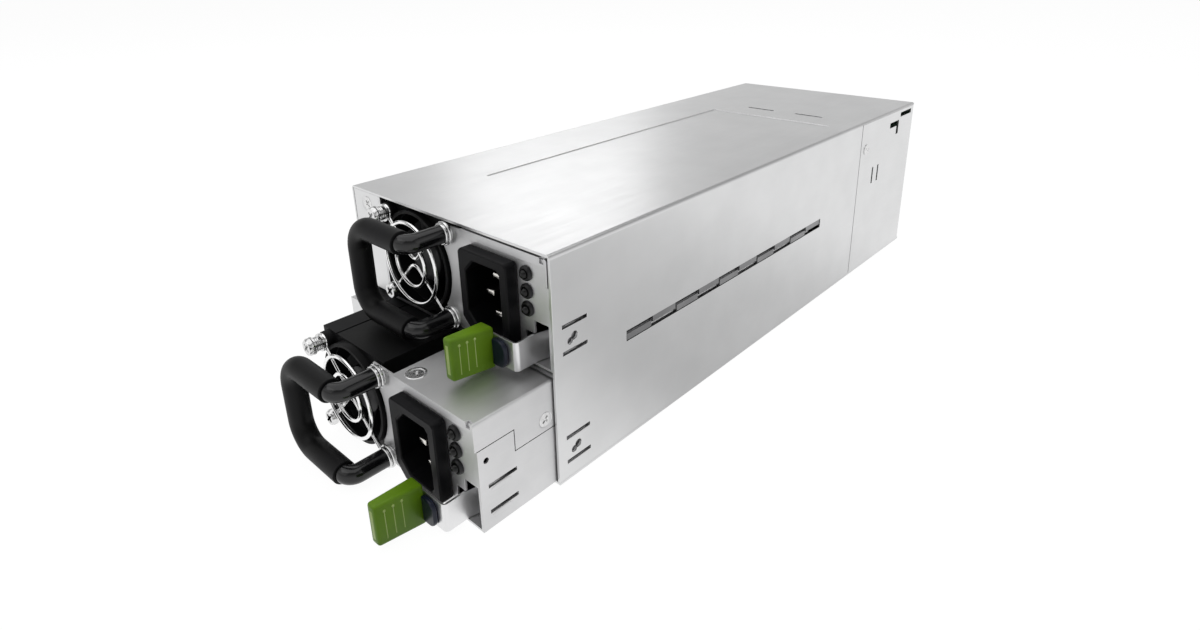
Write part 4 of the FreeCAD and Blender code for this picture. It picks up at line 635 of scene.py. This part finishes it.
def lamps(bay):
    body = f"{bay}_module"
    low, high = span("lamp_bezels")
    x = (low.x + high.x) / 2
    panel = span("case_base")[0].y
    pitch = 6.15
    rims, domes = bmesh.new(), bmesh.new()
    for number in range(3):
        at = Vector((x, panel, high.z - 2.6 - number * pitch))
        lathe(rims, at, -Y_AXIS, [(1.6, -2.2), (1.95, -2.2), (1.95, 0), (2.6, 0), (2.6, 0.7), (2.2, 1.25),
                                  (1.75, 1.25), (1.6, 0.8), (1.6, -2.2)])
        arc = [(1.52 * math.cos(step * math.pi / 16), 1.2 + 1.5 * math.sin(step * math.pi / 16)) for step in range(9)]
        lathe(domes, at, -Y_AXIS, [(0, -2.0), (1.52, -2.0)] + arc)
    settle(rims, f"{bay}_lamp_rims", FAN_PLASTIC, body, bay, (f"{bay}_lamp_bezels",))
    settle(domes, f"{bay}_lamp_domes", LAMP_LENS, body, bay, (f"{bay}_lamp_lenses",))


def latch(bay):
    body = f"{bay}_latch"
    rolled(f"{bay}_latch_strip", SPRING_STEEL, body, 0.15)
    rolled(f"{bay}_latch_core", LATCH_CORE, body, 0.5)
    low, high = span("latch_tab")
    side = high.x - 0.45
    front = low.y - 1.5
    bm = bmesh.new()
    verts = bmesh.ops.create_cube(bm, size=1.0)["verts"]
    for vert in verts:
        ahead = vert.co.y < 0
        thick = TAB_FRONT_THICK if ahead else TAB_REAR_THICK
        top = high.z + (TAB_FRONT_RISE if ahead else TAB_REAR_RISE)
        bottom = low.z + (0.8 if ahead else -1.6)
        vert.co = Vector((side if vert.co.x > 0 else side - thick, front if ahead else high.y,
                          top if vert.co.z > 0 else bottom))
    bmesh.ops.bevel(bm, geom=bm.edges, offset=1.1, segments=4, profile=0.5, affect="EDGES", clamp_overlap=True,
                    material=-1)
    settle(bm, f"{bay}_thumb_tab", LATCH_TAB, body, bay, (f"{bay}_latch_tab",))
    # Ribs with dots on the tab's outer side, in the lighter green of a painted highlight.
    bm = bmesh.new()
    for number in range(3):
        y = front + 3.2 + 3.0 * number
        top = high.z + 0.6 - 0.1 * number
        wire(bm, Vector((side - 0.21, y, low.z + 2.2)), Vector((side - 0.21, y, top)), 0.26, 12)
        bmesh.ops.create_uvsphere(bm, u_segments=16, v_segments=10, radius=0.5,
                                  matrix=Matrix.Translation(Vector((side - 0.1, y, top))))
    # A thin strip on the tab's front face near its left edge: painted light in the slit there.
    left = side - TAB_FRONT_THICK
    brick(bm, Vector((left + 1.5, front - 0.05, low.z + 3.0)), Vector((left + 2.9, front + 0.4, high.z + 1.2)), 0.1, 2)
    settle(bm, f"{bay}_thumb_ribs_painted_highlight", LATCH_PAINTED_HIGHLIGHT, body, bay)


def inside(bay):
    for node, finish in (("main_board", CIRCUIT_BOARD), ("transformer", WINDING), ("bulk_capacitors", CAPACITOR_SLEEVE),
                         ("heat_sinks", SINK_METAL), ("latch_rivets", SCREW_STEEL)):
        paint(f"{bay}_{node}", finish)


cage()
for bay_name in BAYS:
    for build in (case, bulges, fan, guard, guard_screws, handle, inlet, lamps, latch, inside):
        build(bay_name)


# Studio

def floor():
    """A pale floor that looks white to the camera and keeps the object's shadow. To the metal it is white with painted
    shade: a darker band beside the object.
    """
    bm = bmesh.new()
    bmesh.ops.create_grid(bm, x_segments=1, y_segments=1, size=20.0)
    mesh = bpy.data.meshes.new("studio_floor")
    bm.to_mesh(mesh)
    bm.free()
    finish = bpy.data.materials.new("studio_floor")
    finish.use_nodes = True
    tree = finish.node_tree
    tree.nodes.remove(tree.nodes["Principled BSDF"])
    plain = tree.nodes.new("ShaderNodeBsdfDiffuse")
    plain.inputs["Color"].default_value = (0.4, 0.4, 0.4, 1)
    thin = tree.nodes.new("ShaderNodeBsdfDiffuse")
    thin.inputs["Color"].default_value = (0.10, 0.10, 0.10, 1)
    glow = tree.nodes.new("ShaderNodeEmission")
    glow.inputs["Strength"].default_value = 0.96
    seen = tree.nodes.new("ShaderNodeAddShader")
    tree.links.new(thin.outputs["BSDF"], seen.inputs[0])
    tree.links.new(glow.outputs["Emission"], seen.inputs[1])
    # What the metal mirrors: white away from the object, with a band of painted shade across its place, darkest just in
    # front of its middle.
    coords = tree.nodes.new("ShaderNodeTexCoord")
    split = tree.nodes.new("ShaderNodeSeparateXYZ")
    place = tree.nodes.new("ShaderNodeMapRange")
    place.inputs["From Min"].default_value = -0.3
    place.inputs["From Max"].default_value = 0.3
    painted_shade_band = tree.nodes.new("ShaderNodeValToRGB")
    stops = ((0.0, 1.0), (0.25, 1.0), (0.40, 0.60), (0.50, 0.66), (0.75, 1.0))
    painted_shade_band.color_ramp.interpolation = "EASE"
    for number, (spot, level) in enumerate(stops):
        stop = painted_shade_band.color_ramp.elements[0] if number == 0 else painted_shade_band.color_ramp.elements.new(spot)
        stop.position = spot
        stop.color = (level, level, level, 1)
    painted_shade_band.color_ramp.elements.remove(painted_shade_band.color_ramp.elements[-1])
    mirrored_painted_shade = tree.nodes.new("ShaderNodeEmission")
    tree.links.new(coords.outputs["Object"], split.inputs["Vector"])
    tree.links.new(split.outputs["Y"], place.inputs["Value"])
    tree.links.new(place.outputs["Result"], painted_shade_band.inputs["Fac"])
    tree.links.new(painted_shade_band.outputs["Color"], mirrored_painted_shade.inputs["Color"])
    mix = tree.nodes.new("ShaderNodeMixShader")
    tree.links.new(watched(tree), mix.inputs["Fac"])
    tree.links.new(plain.outputs["BSDF"], mix.inputs[1])
    tree.links.new(chosen(tree, "Is Glossy Ray", seen, mirrored_painted_shade), mix.inputs[2])
    tree.links.new(mix.outputs["Shader"], tree.nodes["Material Output"].inputs["Surface"])
    mesh.materials.append(finish)
    plane = bpy.data.objects.new("studio_floor", mesh)
    bpy.context.scene.collection.objects.link(plane)


def chosen(tree, ray, otherwise, shader):
    """One shader for a kind of ray, and another for the rest."""
    rays = tree.nodes.new("ShaderNodeLightPath")
    mix = tree.nodes.new("ShaderNodeMixShader")
    tree.links.new(rays.outputs[ray], mix.inputs["Fac"])
    tree.links.new(otherwise.outputs[0], mix.inputs[1])
    tree.links.new(shader.outputs[0], mix.inputs[2])
    return mix.outputs["Shader"]


def watched(tree):
    """1 where the camera looks, straight or through a reflection."""
    rays = tree.nodes.new("ShaderNodeLightPath")
    either = tree.nodes.new("ShaderNodeMath")
    either.operation = "MAXIMUM"
    tree.links.new(rays.outputs["Is Camera Ray"], either.inputs[0])
    tree.links.new(rays.outputs["Is Glossy Ray"], either.inputs[1])
    both = tree.nodes.new("ShaderNodeMath")
    both.operation = "MAXIMUM"
    tree.links.new(either.outputs["Value"], both.inputs[0])
    tree.links.new(rays.outputs["Is Transmission Ray"], both.inputs[1])
    return both.outputs["Value"]


def panel_light(name, at, target, size, power):
    """A soft square lamp that faces a point."""
    light = bpy.data.lights.new(name, "AREA")
    light.shape = "RECTANGLE"
    light.size, light.size_y = size
    light.energy = power
    lamp = bpy.data.objects.new(name, light)
    lamp.location = at
    lamp.rotation_euler = (Vector(target) - Vector(at)).to_track_quat("-Z", "Y").to_euler()
    bpy.context.scene.collection.objects.link(lamp)


def studio():
    floor()
    panel_light("back_left_panel", (-0.92, 0.78, 0.60), (0, 0, 0.08), (0.45, 0.25), 0.62)
    panel_light("right_panel", (1.2, 0.3, 0.8), (0, 0, 0.04), (0.9, 0.9), 1)
    panel_light("front_panel", (-0.3, -1.3, 1.1), (0, -0.1, 0.04), (1.4, 1.0), 2.1)
    panel_light("top_panel", (-0.2, -0.2, 1.6), (0, -0.1, 0.04), (2.4, 2.4), 18)
    world = bpy.data.worlds.new("studio")
    bpy.context.scene.world = world
    world.use_nodes = True
    tree = world.node_tree
    lighting = tree.nodes["Background"]
    lighting.inputs["Strength"].default_value = 0.35
    reflected = tree.nodes.new("ShaderNodeBackground")
    coords = tree.nodes.new("ShaderNodeTexCoord")
    split = tree.nodes.new("ShaderNodeSeparateXYZ")
    tree.links.new(coords.outputs["Generated"], split.inputs["Vector"])
    sky = tree.nodes.new("ShaderNodeValToRGB")
    sky.color_ramp.elements[0].position = 0.0
    sky.color_ramp.elements[0].color = (1.0, 1.0, 1.0, 1)
    sky.color_ramp.elements[1].position = 0.7
    sky.color_ramp.elements[1].color = (0.22, 0.22, 0.22, 1)
    tree.links.new(split.outputs["Z"], sky.inputs["Fac"])
    tree.links.new(sky.outputs["Color"], reflected.inputs["Color"])
    tree.links.new(sky.outputs["Color"], lighting.inputs["Color"])
    mix = tree.nodes.new("ShaderNodeMixShader")
    tree.links.new(watched(tree), mix.inputs["Fac"])
    tree.links.new(lighting.outputs["Background"], mix.inputs[1])
    tree.links.new(reflected.outputs["Background"], mix.inputs[2])
    tree.links.new(mix.outputs["Shader"], tree.nodes["World Output"].inputs["Surface"])


def camera():
    """The photograph's camera, fitted to the cage's straight edges."""
    lens = bpy.data.cameras.new("photo_camera")
    lens.sensor_width = 36.0
    lens.lens = 36.0 * 721.10 / 1200
    lens.shift_x = (600 - 598.30) / 1200
    lens.shift_y = (217.33 - 315) / 1200
    lens.clip_start = 0.01
    eye = bpy.data.objects.new("photo_camera", lens)
    ahead = Vector((-0.63938515, 0.68767561, -0.34393151))
    up = Vector((-0.2177137, 0.26708203, 0.93875872))
    right = ahead.cross(up).normalized()
    up = right.cross(ahead)
    turn = Matrix((right, up, -ahead)).transposed().to_4x4()
    eye.matrix_world = Matrix.Translation(Vector((201.70, -279.69, 168.23)) * MM) @ turn
    bpy.context.scene.collection.objects.link(eye)
    bpy.context.scene.camera = eye


studio()
camera()
bpy.context.scene.view_settings.view_transform = "Standard"
bpy.context.view_layer.update()


def plain(corners):
    return [[float(value) for value in corner] for corner in corners]
